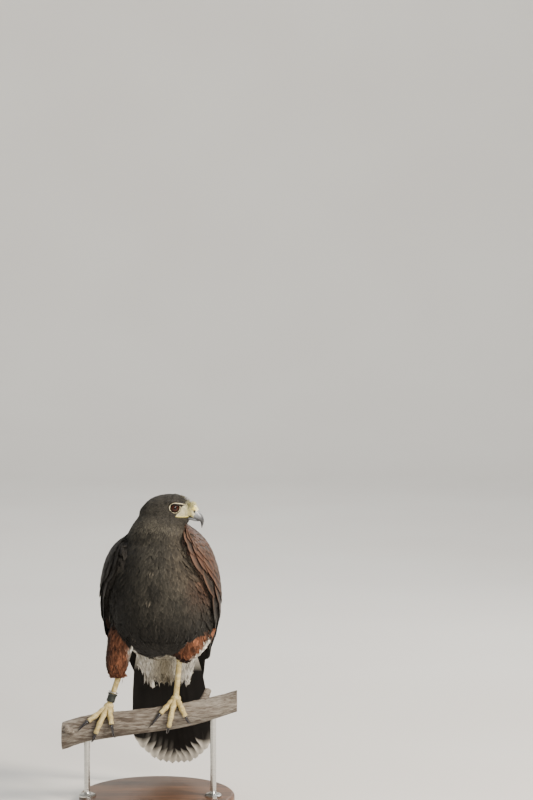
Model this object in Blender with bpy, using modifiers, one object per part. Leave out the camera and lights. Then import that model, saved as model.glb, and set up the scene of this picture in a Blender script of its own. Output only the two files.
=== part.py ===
# Harris hawk perched on a cut length of branch, life size, as a still display model.
# Lengths below are in millimetres and become metres where each solid is made. +Z is up.
# The bird faces -Y and its head is turned to its own left, which is +X.
# Bird space has its origin under the body at foot level. Body space is the same before
# the slight turn of the chest, and the trunk is symmetric about x = 0 in it.

import math
import random

import bmesh
import bpy
import numpy as np
from mathutils import Matrix

# Driving sizes
MM = 0.001
GAP = 0.3
BIRD_AT = np.array([8.0, -22.0, 148.0])
CHEST_TURN = -7.0
HEAD_TURN = 78.0
HEAD_PITCH = 2.0
HEAD_AT = np.array([9.0, -8.0, 301.5])
NECK_CUT = 262.0
HEAD_CUT = 281.0
LEFT_SHOULDER_RAISE = 19.0
EYE_RADIUS = 9.2
EYE_AT = (15.5, 16.0, 8.0)
LID_RADIUS = 7.7
LID_THICKNESS = 1.4
LID_HEIGHT = 6.2
TAIL_ROOT = np.array([-3.0, 60.0, 104.0])
TAIL_LENGTH = 235.0
VANE = 0.6
WING_CORE_END = 100.0
WING_SUNK = 3.0
BASE_RADIUS = 118.0
BASE_HEIGHT = 18.0
ROD_RADIUS = 4.5
ROD_PLACES = (("left", 78.0), ("right", -112.0))
SOCKET_DEPTH = 9.0

# Trunk outline: height, middle, reach to the front, reach to the back, half width, squareness
TRUNK = [
    (285, -6, 24, 28, 36, 2), (268, -6, 34, 36, 45, 2), (255, -6, 46, 42, 54, 2), (240, -6, 55, 48, 62, 2),
    (220, -5, 64, 54, 69, 2), (195, -3, 71, 59, 74, 2), (170, 0, 75, 62, 76, 2), (145, 4, 75, 63, 75, 2),
    (120, 10, 70, 61, 70, 2), (102, 18, 60, 55, 61, 2), (88, 27, 42, 46, 49, 2), (78, 36, 30, 34, 35, 2),
    (72, 43, 18, 21, 20, 2),
]
# Surface that the folded wings lie on: the trunk above, and the back of the tail below
CARRIER = TRUNK[:8] + [
    (120, 10, 72, 62, 71, 2), (100, 20, 66, 60, 67, 2.1), (80, 36, 58, 50, 62, 2.4),
    (50, 68, 48, 26, 57, 2.8), (20, 84, 40, 18, 53, 3), (-10, 97, 36, 16, 48, 3), (-40, 109, 30, 16, 42, 3),
]
# Wing edges as angles from the front: height, leading edge, trailing edge
WING_EDGES = [
    (262, 75, 108), (255, 60, 120), (240, 48, 140), (225, 45, 154), (200, 55, 166), (170, 72, 170),
    (140, 82, 172), (108, 92, 173), (80, 105, 174), (50, 117, 174), (20, 138, 174), (-20, 155, 174),
]
# Wing depth over the carrier, and how far the right wing hangs out from the flank
WING_DEPTH = [
    (262, 4), (250, 10), (235, 14), (210, 16), (180, 16), (150, 14), (125, 11), (100, 7.5), (-20, 4),
]
RIGHT_WING_DROOP = [
    (262, 0), (180, 0), (145, 3), (120, 7), (100, 11), (80, 13), (50, 10), (20, 6), (-20, 3),
]
# Tiers of wing feathers, each from the leading edge back: count, root height, root angles,
# tip heights, tip angles, half width, offset past the core (0 follows the core itself)
WING_TIERS = [
    (4, 118, (124, 154), (20, -16), (136, 165), 6.5, 2.6),
    (5, 116, (106, 162), (66, 44), (118, 167), 9.2, 7.0),
    (5, 150, (94, 162), (113, 104), (100, 168), 11.0, 0.0),
    (5, 192, (80, 158), (158, 146), (90, 164), 12.5, 0.0),
    (4, 230, (66, 140), (203, 188), (74, 156), 13.5, 0.0),
]
# Neck in bird space: height, middle across, middle in depth, reach front, reach back, half width
NECK = [
    (250, 0, -6, 46, 42, 52), (262, -1, -7, 42, 40, 50), (274, -2, -8, 38, 38, 45), (286, 0, -8, 35, 34, 40),
    (298, 4, -8, 30, 29, 34), (308, 8, -8, 22, 22, 26),
]
# Head sections along its length: forward, half width, reach up, reach down
HEAD = [
    (-40, 11, 5, 12), (-34, 19, 12, 20), (-24, 26, 20.5, 25), (-10, 29.5, 26, 27), (4, 29.5, 28, 26),
    (14, 27, 27.3, 24), (22, 22.5, 25, 21), (29, 17.5, 19.5, 18), (34, 13, 13.8, 15.5),
]
# Upper bill sections: place along the bill, top forward and up, bottom forward and up, half width
UPPER_BILL = [
    (0, 34.3, 12.8, 34.3, -6.3, 11), (0.2, 42.5, 11.9, 37.5, -6.3, 10), (0.3, 46.8, 9.6, 39.5, -7.4, 9.3),
    (0.4, 50, 5.2, 41.5, -8.9, 8.4), (0.55, 53.9, -1.8, 45, -11.7, 7), (0.7, 56.6, -8, 48.3, -14.2, 5.6),
    (0.8, 57.2, -12.2, 50.5, -15.8, 4.5), (0.88, 56.6, -16.4, 51.9, -18, 3.3),
    (0.95, 55.2, -20.8, 52.7, -21.6, 2), (1, 53.7, -24.6, 53.1, -24.8, 0.6),
]
LOWER_BILL = [
    (0, 34.3, -7.5, 34.3, -14.5, 8.5), (0.4, 40, -8.6, 39, -16, 7), (0.75, 45, -12.9, 44, -18, 5),
    (1, 49.3, -15.9, 48.8, -17.8, 2.2),
]
CERE_END = 0.37
BILL_START = 0.383
# Legs in bird space: place along, x, y, z, radius. The feathered leg ends at THIGH_END
THIGHS = {
    "right": [(0, -46, 6, 128, 25), (1, -60, -4, 102, 20), (2, -65.5, -2, 78, 18), (3, -66, 2, 60, 14),
              (3.6, -64.5, 4, 51, 9), (4.4, -67.6, 3, 40, 9)],
    "left": [(0, 48, -2, 130, 26), (1, 49, -8, 112, 24), (2, 44, -10, 97, 18), (3, 34, -9, 86, 12.5),
             (3.6, 28, -8, 79, 8.5), (4.4, 27.6, -7.2, 71, 8.5)],
}
THIGH_END = 3.6
FOOT_AT = {"right": (-79.0, 0.0, 7.0), "left": (22.0, -2.0, 19.0)}
STUB_LENGTH = 9.0
LEG_RADIUS = 4.4
# Toes: number, length, claw length, direction from straight ahead towards -X
TOES = {
    "right": [(1, 27, 29, 188), (2, 33, 28, -10), (3, 48, 22, 22), (4, 37, 20, 52)],
    "left": [(1, 27, 29, 172), (2, 33, 28, 42), (3, 48, 22, 12), (4, 37, 20, -24)],
}
# Perch: x, height of the middle, radius
PERCH = [(-150, -38, 21), (-110, -27, 20.5), (-77, -21, 20), (-25, -15, 19.5), (22, -8, 18.5), (70, 2, 17.5),
         (115, 16, 17)]
# Tail covert core in tail space: along the tail, half width, depth below the tail
UNDERTAIL = [(-12, 44, 24), (8, 50, 25), (26, 51, 22), (44, 47, 15), (62, 41, 8), (80, 33, 3)]
# Tiers of undertail feathers: root and tip along the tail, places across, half width
UNDERTAIL_TIERS = [((62, 120), (-24, -12, 0, 12, 24), 9.0), ((42, 90), (-34, -17, 0, 17, 34), 8.0),
                   ((4, 51), (-27, -9, 9, 27), 8.5)]
# Outline of a short feather: place along it and share of its full width
LEAF = ((0, 0.6), (0.35, 1), (0.78, 0.85), (1, 0.3))

random.seed(11)

for old in list(bpy.data.objects):
    bpy.data.objects.remove(old, do_unlink=True)
parts = bpy.data.collections.new("harris_hawk")
cutters = bpy.data.collections.new("cutters")
bpy.context.scene.collection.children.link(parts)
bpy.context.scene.collection.children.link(cutters)
bird = bpy.data.objects.new("bird", None)
bird.location = BIRD_AT * MM
parts.objects.link(bird)


def linear(channel):
    return channel / 12.92 if channel <= 0.04045 else ((channel + 0.055) / 1.055) ** 2.4


def material(name, colour, roughness=0.6, metallic=0.0):
    made = bpy.data.materials.new(name)
    made.use_nodes = True
    shader = made.node_tree.nodes["Principled BSDF"]
    rgb = [linear(int(colour[i:i + 2], 16) / 255) for i in (0, 2, 4)]
    shader.inputs["Base Color"].default_value = (*rgb, 1)
    shader.inputs["Roughness"].default_value = roughness
    shader.inputs["Metallic"].default_value = metallic
    return made


BROWN = material("dark_brown_plumage", "3a3128", 0.8)
RUFOUS = material("rufous_plumage", "7a4226", 0.8)
WING = material("wing_plumage", "2e2722", 0.8)
BLACK = material("tail_plumage", "1c1a19", 0.75)
WHITE = material("undertail_plumage", "d8d2c4", 0.8)
YELLOW = material("yellow_skin", "d2b23c", 0.55)
HORN = material("blue_grey_horn", "5d646e", 0.35)
CLAW = material("black_horn", "17161a", 0.3)
IRIS = material("dark_red_brown_eye", "3c1d10", 0.1)
LEATHER = material("black_leather", "1d2320", 0.6)
STEEL = material("pale_metal", "c9c9c4", 0.3, 1.0)
BARK = material("grey_bark", "7d746a", 0.9)
WOOD = material("dark_stained_wood", "4a3424", 0.5)


def smooth(table, at):
    # Reads a table of rows at any place, on a smooth curve through the rows
    rows = np.array(sorted(table), dtype=float)
    places, values = rows[:, 0], rows[:, 1:]
    slopes = np.gradient(values, places, axis=0)
    i = int(np.clip(np.searchsorted(places, at) - 1, 0, len(places) - 2))
    step = places[i + 1] - places[i]
    u = min(max((at - places[i]) / step, 0.0), 1.0)
    start = (2 * u ** 3 - 3 * u ** 2 + 1) * values[i] + (u ** 3 - 2 * u ** 2 + u) * step * slopes[i]
    end = (3 * u ** 2 - 2 * u ** 3) * values[i + 1] + (u ** 3 - u ** 2) * step * slopes[i + 1]
    return start + end


def ease(value, low, high):
    # 0 below low, 1 above high, and a soft step between them
    u = min(max((value - low) / (high - low), 0.0), 1.0)
    return u * u * (3 - 2 * u)


def mix(pair, u):
    return pair[0] + (pair[1] - pair[0]) * u


def unit(vector):
    return np.asarray(vector, dtype=float) / np.linalg.norm(vector)


def placed(name, mesh, paint, placing=None, parent=bird, group=parts):
    # Object under its parent, with a placing matrix in millimetres
    mesh.materials.append(paint)
    item = bpy.data.objects.new(name, mesh)
    item.parent = parent
    if placing:
        item.location = placing.translation * MM
        item.rotation_euler = placing.to_euler()
    group.objects.link(item)
    return item


def finish(name, build, paint, placing=None, group=parts):
    # Turns a bmesh in millimetres into an object
    bmesh.ops.transform(build, matrix=Matrix.Scale(MM, 4), verts=build.verts)
    bmesh.ops.recalc_face_normals(build, faces=build.faces)
    mesh = bpy.data.meshes.new(name)
    build.to_mesh(mesh)
    build.free()
    return placed(name, mesh, paint, placing, group=group)


def skin(name, points, faces, paint, group=parts):
    # Solid from points and triangles, for sections unlike each other
    build = bmesh.new()
    verts = [build.verts.new(p) for p in points]
    for face in faces:
        build.faces.new([verts[i] for i in face])
    return finish(name, build, paint, group=group)


def loft(rings):
    # Closed tube through rings of equally many points, each end closed about its middle
    count = len(rings[0])
    points = [p for ring in rings for p in ring]
    faces = []
    for start in range(0, (len(rings) - 1) * count, count):
        for i in range(count):
            a, b = start + i, start + (i + 1) % count
            faces += [(a, b, b + count), (a, b + count, a + count)]
    for start in (0, (len(rings) - 1) * count):
        points.append(np.mean(points[start:start + count], axis=0))
        middle = len(points) - 1
        faces += [(start + i, start + (i + 1) % count, middle) for i in range(count)]
    return points, faces


def slab(outer, inner):
    # Closed solid between two grids of points with equally many rows and columns
    rows, columns = len(outer), len(outer[0])
    points = [p for grid in (outer, inner) for row in grid for p in row]
    under = rows * columns
    faces = []
    for r in range(rows - 1):
        for c in range(columns - 1):
            a = r * columns + c
            for base in (a, a + under):
                faces += [(base, base + 1, base + columns + 1), (base, base + columns + 1, base + columns)]
    rim = list(range(columns)) + [r * columns + columns - 1 for r in range(1, rows)]
    rim += [(rows - 1) * columns + c for c in range(columns - 2, -1, -1)]
    rim += [r * columns for r in range(rows - 2, 0, -1)]
    for a, b in zip(rim, rim[1:] + rim[:1]):
        faces += [(a, b, b + under), (a, b + under, a + under)]
    return points, faces


def vane(place, half, lift, stations):
    # Thin feather along a surface. place(along, across, off) gives a point of that surface,
    # stations hold (along, width share, off), and the two faces are split into like triangles
    points, faces = [], []
    for along, share, off in stations:
        w = half * share
        top = [(-w, off + lift * share), (w, off - lift * share)]
        points += [place(along, x, h) for x, h in top]
        points += [place(along, x, h - VANE) for x, h in reversed(top)]
    for k in range(0, len(points) - 4, 4):
        for a, b in ((0, 1), (3, 2), (0, 3), (1, 2)):
            faces += [(k + a, k + b, k + 4 + b), (k + a, k + 4 + b, k + 4 + a)]
    for k in (0, len(points) - 4):
        faces += [(k, k + 1, k + 2), (k, k + 2, k + 3)]
    return points, faces


def tube(name, path, radii, paint, roundness=2, group=parts):
    # Bar of changing radius along a path, as a welded mesh
    curve = bpy.data.curves.new(name, "CURVE")
    curve.dimensions = "3D"
    curve.bevel_depth = MM
    curve.bevel_resolution = roundness
    curve.use_fill_caps = True
    line = curve.splines.new("POLY")
    line.points.add(len(path) - 1)
    for point, place, radius in zip(line.points, path, radii):
        point.co = (*(np.asarray(place) * MM), 1)
        point.radius = radius
    bar = bpy.data.objects.new(name, curve)
    parts.objects.link(bar)
    bpy.context.view_layer.update()
    mesh = bpy.data.meshes.new_from_object(bar.evaluated_get(bpy.context.evaluated_depsgraph_get()))
    bpy.data.objects.remove(bar, do_unlink=True)
    build = bmesh.new()
    build.from_mesh(mesh)
    bpy.data.meshes.remove(mesh)
    bmesh.ops.remove_doubles(build, verts=build.verts, dist=MM * 0.01)
    bmesh.ops.transform(build, matrix=Matrix.Scale(1 / MM, 4), verts=build.verts)
    return finish(name, build, paint, group=group)


def axes_at(centre, out, across=None):
    # Placing matrix with its third axis along out
    out = unit(out)
    other = unit(np.cross(out, np.cross((0.0, 1.0, 0.1), out) if across is None else across))
    across = np.cross(other, out)
    rows = [[*row, place] for row, place in zip(np.array([across, other, out]).T, centre)]
    return Matrix(rows + [[0, 0, 0, 1]])


def ball(name, placing, radii, paint, around=16, along=10, group=parts):
    build = bmesh.new()
    bmesh.ops.create_uvsphere(build, u_segments=around, v_segments=along, radius=1.0,
                              matrix=Matrix.Diagonal((*radii, 1)))
    return finish(name, build, paint, placing, group)


def hoop(name, placing, radius, thickness, around, paint):
    bpy.ops.mesh.primitive_torus_add(major_segments=around, minor_segments=6, major_radius=radius * MM,
                                     minor_radius=thickness * MM)
    made = bpy.context.object
    mesh = made.data
    bpy.data.objects.remove(made, do_unlink=True)
    mesh.name = name
    return placed(name, mesh, paint, placing)


def turned(name, profile, placing, sides, paint, parent=bird):
    # Turned solid: a profile of (radius, height), down its outer side, carried round a full turn
    count = len(profile)
    closed = [(i, (i + 1) % count) for i in range(count)]
    edges = [(a, b) for a, b in closed if profile[a][0] or profile[b][0]]
    mesh = bpy.data.meshes.new(name)
    mesh.from_pydata([(r * MM, 0.0, h * MM) for r, h in profile], edges, [])
    item = placed(name, mesh, paint, placing, parent)
    turn = item.modifiers.new("turn", "SCREW")
    turn.steps = turn.render_steps = sides
    turn.use_merge_vertices = True
    turn.merge_threshold = 0.00001
    return item


def apply_modifiers(item):
    bpy.context.view_layer.update()
    graph = bpy.context.evaluated_depsgraph_get()
    fresh = bpy.data.meshes.new_from_object(item.evaluated_get(graph))
    fresh.name = item.name
    item.modifiers.clear()
    item.data = fresh


def combine(item, others, operation, solver="EXACT"):
    # One Boolean with a whole collection of solids, which are removed afterwards
    group = bpy.data.collections.new("tool_group")
    cutters.children.link(group)
    for other in others:
        for owner in list(other.users_collection):
            owner.objects.unlink(other)
        group.objects.link(other)
    change = item.modifiers.new("combine", "BOOLEAN")
    change.operation = operation
    change.operand_type = "COLLECTION"
    change.collection = group
    change.solver = solver
    apply_modifiers(item)
    for other in others:
        bpy.data.objects.remove(other, do_unlink=True)
    bpy.data.collections.remove(group)
    return item


def swollen(item, amount=GAP):
    # Copy of a solid grown along its normals, to cut a clear space around it
    copy = item.copy()
    copy.data = item.data.copy()
    cutters.objects.link(copy)
    build = bmesh.new()
    build.from_mesh(copy.data)
    build.normal_update()
    moves = [(v, v.co + v.normal * amount * MM) for v in build.verts]
    for vertex, place in moves:
        vertex.co = place
    build.to_mesh(copy.data)
    build.free()
    return copy


def keep_largest(item):
    # Leaves only the largest closed surface, and welds what the cuts left doubled
    build = bmesh.new()
    build.from_mesh(item.data)
    bmesh.ops.remove_doubles(build, verts=build.verts, dist=MM * 0.01)
    bmesh.ops.triangulate(build, faces=build.faces)
    groups, seen = [], set()
    for first in build.faces:
        if first in seen:
            continue
        group, waiting = [], [first]
        seen.add(first)
        while waiting:
            face = waiting.pop()
            group.append(face)
            for other in (f for edge in face.edges for f in edge.link_faces if f not in seen):
                seen.add(other)
                waiting.append(other)
        groups.append(group)
    groups.sort(key=lambda faces: sum(f.calc_area() for f in faces))
    bmesh.ops.delete(build, geom=[f for group in groups[:-1] for f in group], context="FACES")
    build.to_mesh(item.data)
    build.free()
    return item


def cut_piece(source, name, planes, reach=400.0):
    # Piece of a solid on the near side of each plane, half a gap away from it
    piece = placed(name, source.data.copy(), BROWN)
    for point, normal in planes:
        normal = unit(normal)
        build = bmesh.new()
        middle = point + normal * (reach / 2 - GAP / 2)
        bmesh.ops.create_cube(build, size=reach)
        combine(piece, [finish("half_space", build, BROWN, axes_at(middle, normal), cutters)], "DIFFERENCE")
    return keep_largest(piece)


def body_to_bird(point):
    a = math.radians(CHEST_TURN)
    x, y, z = point
    return np.array([x * math.cos(a) - y * math.sin(a), x * math.sin(a) + y * math.cos(a), z])


# Head axes in bird space
FORWARD = unit((math.sin(math.radians(HEAD_TURN)), -math.cos(math.radians(HEAD_TURN)),
                math.tan(math.radians(HEAD_PITCH))))
LEFT = np.array((math.cos(math.radians(HEAD_TURN)), math.sin(math.radians(HEAD_TURN)), 0.0))
UP = np.cross(FORWARD, LEFT)


def head_to_bird(forward, left, up):
    return HEAD_AT + FORWARD * forward + LEFT * left + UP * up


def eye_frame(side):
    # Middle of an eye and the way it looks: side is 1 for the left eye, -1 for the right
    forward, left, up = EYE_AT
    return head_to_bird(forward, left * side, up), unit(FORWARD * 0.5 + LEFT * 0.86 * side + UP * 0.03)


def shell_point(table, z, angle):
    # Point on a trunk-like surface, the angle counted from the front
    centre, front, back, half, power = smooth(table, z)
    s, c = math.sin(angle), math.cos(angle)
    reach = front if c > 0 else back
    x = math.copysign(half * abs(s) ** (2 / power), s)
    return np.array([x, centre - math.copysign(reach * abs(c) ** (2 / power), c), z])


def shell_offset(table, z, angle, offset):
    along = shell_point(table, z + 0.5, angle) - shell_point(table, z - 0.5, angle)
    around = shell_point(table, z, angle + 0.01) - shell_point(table, z, angle - 0.01)
    return shell_point(table, z, angle) + unit(np.cross(around, along)) * offset


def wing_place(side, z, angle, offset):
    # Point of a folded wing in bird space: side is 1 for its left wing, -1 for its right
    raised = z + (LEFT_SHOULDER_RAISE * ease(z, 110, 225) if side > 0 else 0.0)
    x, y, height = shell_offset(CARRIER, raised, math.radians(angle), offset)
    if side < 0:
        x += smooth(RIGHT_WING_DROOP, z)[0] * (1 - 0.6 * ease(angle, 100, 170))
    return body_to_bird((side * x, y, height))


def wing_depth(z, angle):
    # Depth of the wing over its carrier, thinner along both edges
    lead, trail = smooth(WING_EDGES, z)
    s = min(max((angle - lead) / (trail - lead), 0.0), 1.0)
    edge = min(1.0, 0.55 + 3 * s) * (1.0 if s < 0.7 else 1 - 1.7 * (s - 0.7))
    return smooth(WING_DEPTH, z)[0] * edge


def tail_to_bird(across, along, height):
    # Tail space: across, along the tail from its root, height towards its upper side
    back = unit((0.0, 0.375, -0.927))
    upper = unit((0.0, 0.927, 0.375))
    return body_to_bird(TAIL_ROOT + np.array([across, 0.0, 0.0]) + back * along + upper * height)


def limb_place(rows, t, angle, radius):
    # Point round a leg at a place along it, the angle counted from +X
    here = smooth(rows, t)
    along = unit(smooth(rows, t + 0.05)[:3] - smooth(rows, t - 0.05)[:3])
    across = unit(np.array([1.0, 0.0, 0.0]) - along * along[0])
    other = np.cross(along, across)
    return here[:3] + (across * math.cos(angle) + other * math.sin(angle)) * (here[3] + radius)


def perch_radius(x, turn):
    # Radius of the branch at a place along it, the turn counted from its top towards the front
    radius = smooth(PERCH, x)[1]
    return radius * (1 + 0.035 * math.sin(2 * turn + 0.04 * x) + 0.02 * math.sin(3 * turn - 0.07 * x + 1))


def perch_point(x, turn, off):
    reach = perch_radius(x, turn) + off
    return np.array([x, -math.sin(turn) * reach, smooth(PERCH, x)[0] + math.cos(turn) * reach])


def perch_solid(name, extra, group):
    xs = np.linspace(PERCH[0][0], PERCH[-1][0], 14)
    rings = [[perch_point(x, 2 * math.pi * k / 14, extra) for k in range(14)] for x in xs]
    return skin(name, *loft(rings), BARK, group)


def sections(table, first, last, count, sides):
    # Rings of a bill-like solid between two places along it
    rings = []
    for t in np.linspace(first, last, count):
        top_f, top_u, low_f, low_u, half = smooth(table, t)
        ring = []
        for a in np.linspace(0, 2 * math.pi, sides, endpoint=False):
            c, s = math.cos(a), math.sin(a)
            rise = 0.5 + 0.5 * math.copysign(abs(c) ** 0.8, c)
            forward, up = mix((low_f, top_f), rise), mix((low_u, top_u), rise)
            ring.append(head_to_bird(forward, math.copysign(half * abs(s) ** 0.8, s), up))
        rings.append(ring)
    return rings


# Trunk, neck and head are made as one, with lids, brows, eye seats and mouth line, and parted later
def trunk_form():
    rings = []
    for z in np.linspace(TRUNK[1][0], TRUNK[-1][0], 18):
        turns = np.linspace(0, 2 * math.pi, 28, endpoint=False)
        rings.append([body_to_bird(shell_point(TRUNK, z, a)) for a in turns])
    return skin("flesh", *loft(rings), BROWN)


def neck_form():
    rings = []
    for z in np.linspace(NECK[0][0], NECK[-1][0], 10):
        x, y, front, back, half = smooth(NECK, z)
        turns = np.linspace(0, 2 * math.pi, 28, endpoint=False)
        rings.append([(x + half * math.sin(a), y - (front if math.cos(a) > 0 else back) * math.cos(a), z)
                      for a in turns])
    return skin("neck_form", *loft(rings), BROWN)


def head_form():
    rings = []
    for forward in np.linspace(HEAD[0][0], HEAD[-1][0], 16):
        half, up, down = smooth(HEAD, forward)
        ring = []
        for a in np.linspace(0, 2 * math.pi, 24, endpoint=False):
            c, s = math.cos(a), math.sin(a)
            rise = (up if c > 0 else down) * math.copysign(abs(c) ** 0.92, c)
            ring.append(head_to_bird(forward, math.copysign(half * abs(s) ** 0.92, s), rise))
        rings.append(ring)
    form = skin("head_form", *loft(rings), BROWN)
    dishes = []
    for side in (1, -1):
        at, out = eye_frame(side)
        dishes.append(ball("dish", axes_at(at + out * 20.4, out, UP), (15, 15, 15), BROWN, 16, 10))
    return combine(form, dishes, "DIFFERENCE")


def face_ridges(side):
    # Round lid and the bony brow over it
    at, out = eye_frame(side)
    lid = hoop("lid", axes_at(at + out * LID_HEIGHT, out, UP), LID_RADIUS, LID_THICKNESS, 16, BROWN)
    path = [head_to_bird(7 + 6 * k, side * (25 - 2.7 * k), 17.5 - 0.9 * k) for k in range(5)]
    return [lid, tube("brow", path, [2.4, 3.1, 3.0, 2.4, 1.4], BROWN)]


def face_cuts(side):
    # Seat of the eyeball, and the line of the closed mouth
    at, out = eye_frame(side)
    size = EYE_RADIUS + GAP
    seat = ball("seat", axes_at(at, out, UP), (size, size, size), BROWN, 15, 11)
    plan = [(18, 20), (27, 14.5), (36, 8), (36, 20), (27, 28), (18, 33)]
    rings = [[head_to_bird(f, side * w, u) for f, w in plan] for u in (-7.3, -6.4)]
    return [seat, skin("mouth", *loft(rings), BROWN)]


flesh = trunk_form()
combine(flesh, [neck_form(), head_form()] + face_ridges(1) + face_ridges(-1), "UNION")
combine(flesh, face_cuts(1) + face_cuts(-1), "DIFFERENCE", "MANIFOLD")
head_tilt = unit(FORWARD * 0.15 + UP)
neck_plane = np.array([0.0, -6.0, NECK_CUT])
head_plane = np.array([9.0, -8.0, HEAD_CUT])
head = cut_piece(flesh, "head", [(head_plane, -head_tilt)])
neck = cut_piece(flesh, "neck", [(head_plane, head_tilt), (neck_plane, (0.0, 0.0, -1.0))])
torso = cut_piece(flesh, "torso", [(neck_plane, (0.0, 0.0, 1.0))])
bpy.data.objects.remove(flesh, do_unlink=True)

# Eyes, cere with its nostrils, and bill
for word, side in (("left", 1), ("right", -1)):
    at, out = eye_frame(side)
    ball("eye_" + word, axes_at(at, out, UP), (EYE_RADIUS,) * 3, IRIS, 16, 10)
cere = skin("cere", *loft(sections(UPPER_BILL, 0, CERE_END, 6, 16)), YELLOW)
nostrils = [
    ball("nostril", axes_at(head_to_bird(44.6, 8.2 * side, 0.6), UP), (1.6, 2.2, 1.6), YELLOW, 10, 6)
    for side in (1, -1)
]
combine(cere, nostrils, "DIFFERENCE")
keep_largest(cere)
skin("bill_upper", *loft(sections(UPPER_BILL, BILL_START, 1, 12, 14)), HORN)
skin("bill_lower", *loft(sections(LOWER_BILL, 0, 1, 6, 12)), HORN)


# Folded wings: a core on the flank with tiers of feathers rooted in it
def wing_core(word, side):
    outer, inner = [], []
    for z in np.linspace(261, WING_CORE_END, 10):
        lead, trail = smooth(WING_EDGES, z)
        angles = np.linspace(lead, trail, 9)
        outer.append([wing_place(side, z, a, wing_depth(z, a)) for a in angles])
        inner.append([wing_place(side, z, a, -WING_SUNK) for a in angles])
    wing = skin("wing_" + word, *slab(outer, inner), WING)
    return keep_largest(combine(wing, [swollen(near) for near in (head, neck, torso)], "DIFFERENCE"))


def wing_vane(side, root, tip, half, lift, past_core):
    # root and tip are (height, angle); the vane leaves the core and then lies over it or past it
    def place(t, across, off):
        z, angle = mix((root[0], tip[0]), t), mix((root[1], tip[1]), t)
        step = np.linalg.norm(wing_place(side, z, angle + 2, off) - wing_place(side, z, angle - 2, off)) / 4
        return wing_place(side, z, angle + across / step, off)

    stations = []
    shares = ((0, 0.6), (0.25, 0.9), (0.6, 1), (0.88, 0.8), (1, 0.3)) if past_core else LEAF
    for t, share in shares:
        depth = wing_depth(mix((root[0], tip[0]), t), mix((root[1], tip[1]), t))
        if past_core:
            off = past_core if t else min(past_core, 0.5 * depth)
        else:
            off = depth + mix((-3.0, 2.1), ease(t, 0, 0.35))
        stations.append((t, share, off))
    return skin("vane", *vane(place, half, lift, stations), WING)


def wing_vanes(side):
    made = []
    for count, root_z, root_angles, tip_z, tip_angles, half, past_core in WING_TIERS:
        for k in range(count):
            u = k / (count - 1)
            root = (root_z, mix(root_angles, u))
            tip = (mix(tip_z, u) + random.uniform(-1, 1), mix(tip_angles, u))
            spacing = (root_angles[1] - root_angles[0] + tip_angles[1] - tip_angles[0]) / 2 / (count - 1)
            middle = (root_z + tip[0]) / 2
            ends = [wing_place(side, middle, tip[1] + turn, 5) for turn in (2, -2)]
            width = np.linalg.norm(ends[0] - ends[1])
            step = VANE + (5.5 if past_core else 2.4) * GAP
            lift = step * half / (spacing * width / 4)
            made.append(wing_vane(side, root, tip, half, lift, past_core))
    return made


wing_cores = {}
for word, side in (("left", 1), ("right", -1)):
    wing = wing_core(word, side)
    wing_cores[word] = swollen(wing)
    keep_largest(combine(wing, wing_vanes(side), "UNION", "MANIFOLD"))


# Tail: twelve long feathers from a root block, and the coverts over them
def tail_core():
    rings = []
    for along, half, upper, lower in ((-16, 32, 8, 3.4), (14, 39, 8, 3.4), (44, 42, 6.6, 3.3)):
        ring = []
        for a in np.linspace(0, 2 * math.pi, 16, endpoint=False):
            c, s = math.cos(a), math.sin(a)
            height = (upper if c > 0 else lower) * math.copysign(abs(c) ** 0.5, c)
            ring.append(tail_to_bird(math.copysign(half * abs(s) ** 0.7, s), along, height))
        rings.append(ring)
    return skin("tail", *loft(rings), BLACK)


def tail_vanes():
    made = []
    for k in range(6):
        for side in (1, -1):
            level = 3 - 0.95 * (k + 1 if k or side < 0 else 0)
            fan = math.radians(0.75 * (k + 0.5)) * side
            root = 6.2 * (k + 0.5) * side
            length = TAIL_LENGTH - 1.2 * k * k + random.uniform(-1, 1)
            inner = 17.0 if k == 0 else min(17.0, abs(root) - 0.4)

            def place(along, across, off):
                inward = across * side < 0
                x = root + along * math.sin(fan) + (across * inner / 17 if inward else across)
                return tail_to_bird(x, along * math.cos(fan), off)

            stations = [(30, 0.4, level), (90, 0.85, level), (200, 1, level), (length - 8, 0.8, level),
                        (length, 0.3, level)]
            made.append(skin("vane", *vane(place, 17.0, 0.0, stations), BLACK))
    for k in range(6):
        middle = 10.0 * (k - 2.5)
        level = 4.3 if k % 2 else 5.4
        stations = [(28, 0.6, level), (50, 1, level), (70, 0.8, level), (84 - abs(middle) / 2, 0.3, level)]
        covert = vane(lambda along, across, off, x=middle: tail_to_bird(x + across, along, off),
                      8.5, 0.0, stations)
        made.append(skin("vane", *covert, BLACK))
    return made


tail = keep_largest(combine(tail_core(), [swollen(torso)], "DIFFERENCE"))
keep_largest(combine(tail, tail_vanes(), "UNION", "MANIFOLD"))


# White coverts under the tail: a soft core with three tiers of feathers
def undertail_core():
    rings = []
    for along in np.linspace(UNDERTAIL[0][0], UNDERTAIL[-1][0], 8):
        half, depth = smooth(UNDERTAIL, along)
        lower = [tail_to_bird(half * math.cos(a), along, -3.8 - depth * math.sin(a))
                 for a in np.linspace(0, math.pi, 11)]
        rings.append(lower + [tail_to_bird(0.0, along, -3.7)])
    return skin("undertail_coverts", *loft(rings), WHITE)


def undertail_vane(first, last, middle, half, level):
    def place(along, across, off):
        x = middle * (1 - 0.25 * ease(along, 30, 120)) + across
        wide, depth = smooth(UNDERTAIL, along)
        drop = depth * math.sqrt(max(0.0, 1 - (x / wide) ** 2)) if level < 2 else 0.0
        return tail_to_bird(x, along, -3.8 - drop - off)

    stations = []
    for u, share in LEAF:
        off = mix((-3.0, 1.9), ease(u, 0, 0.35)) if level < 2 else level
        stations.append((mix((first, last), u), share, off))
    return skin("vane", *vane(place, half, 0.0, stations), WHITE)


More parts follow.
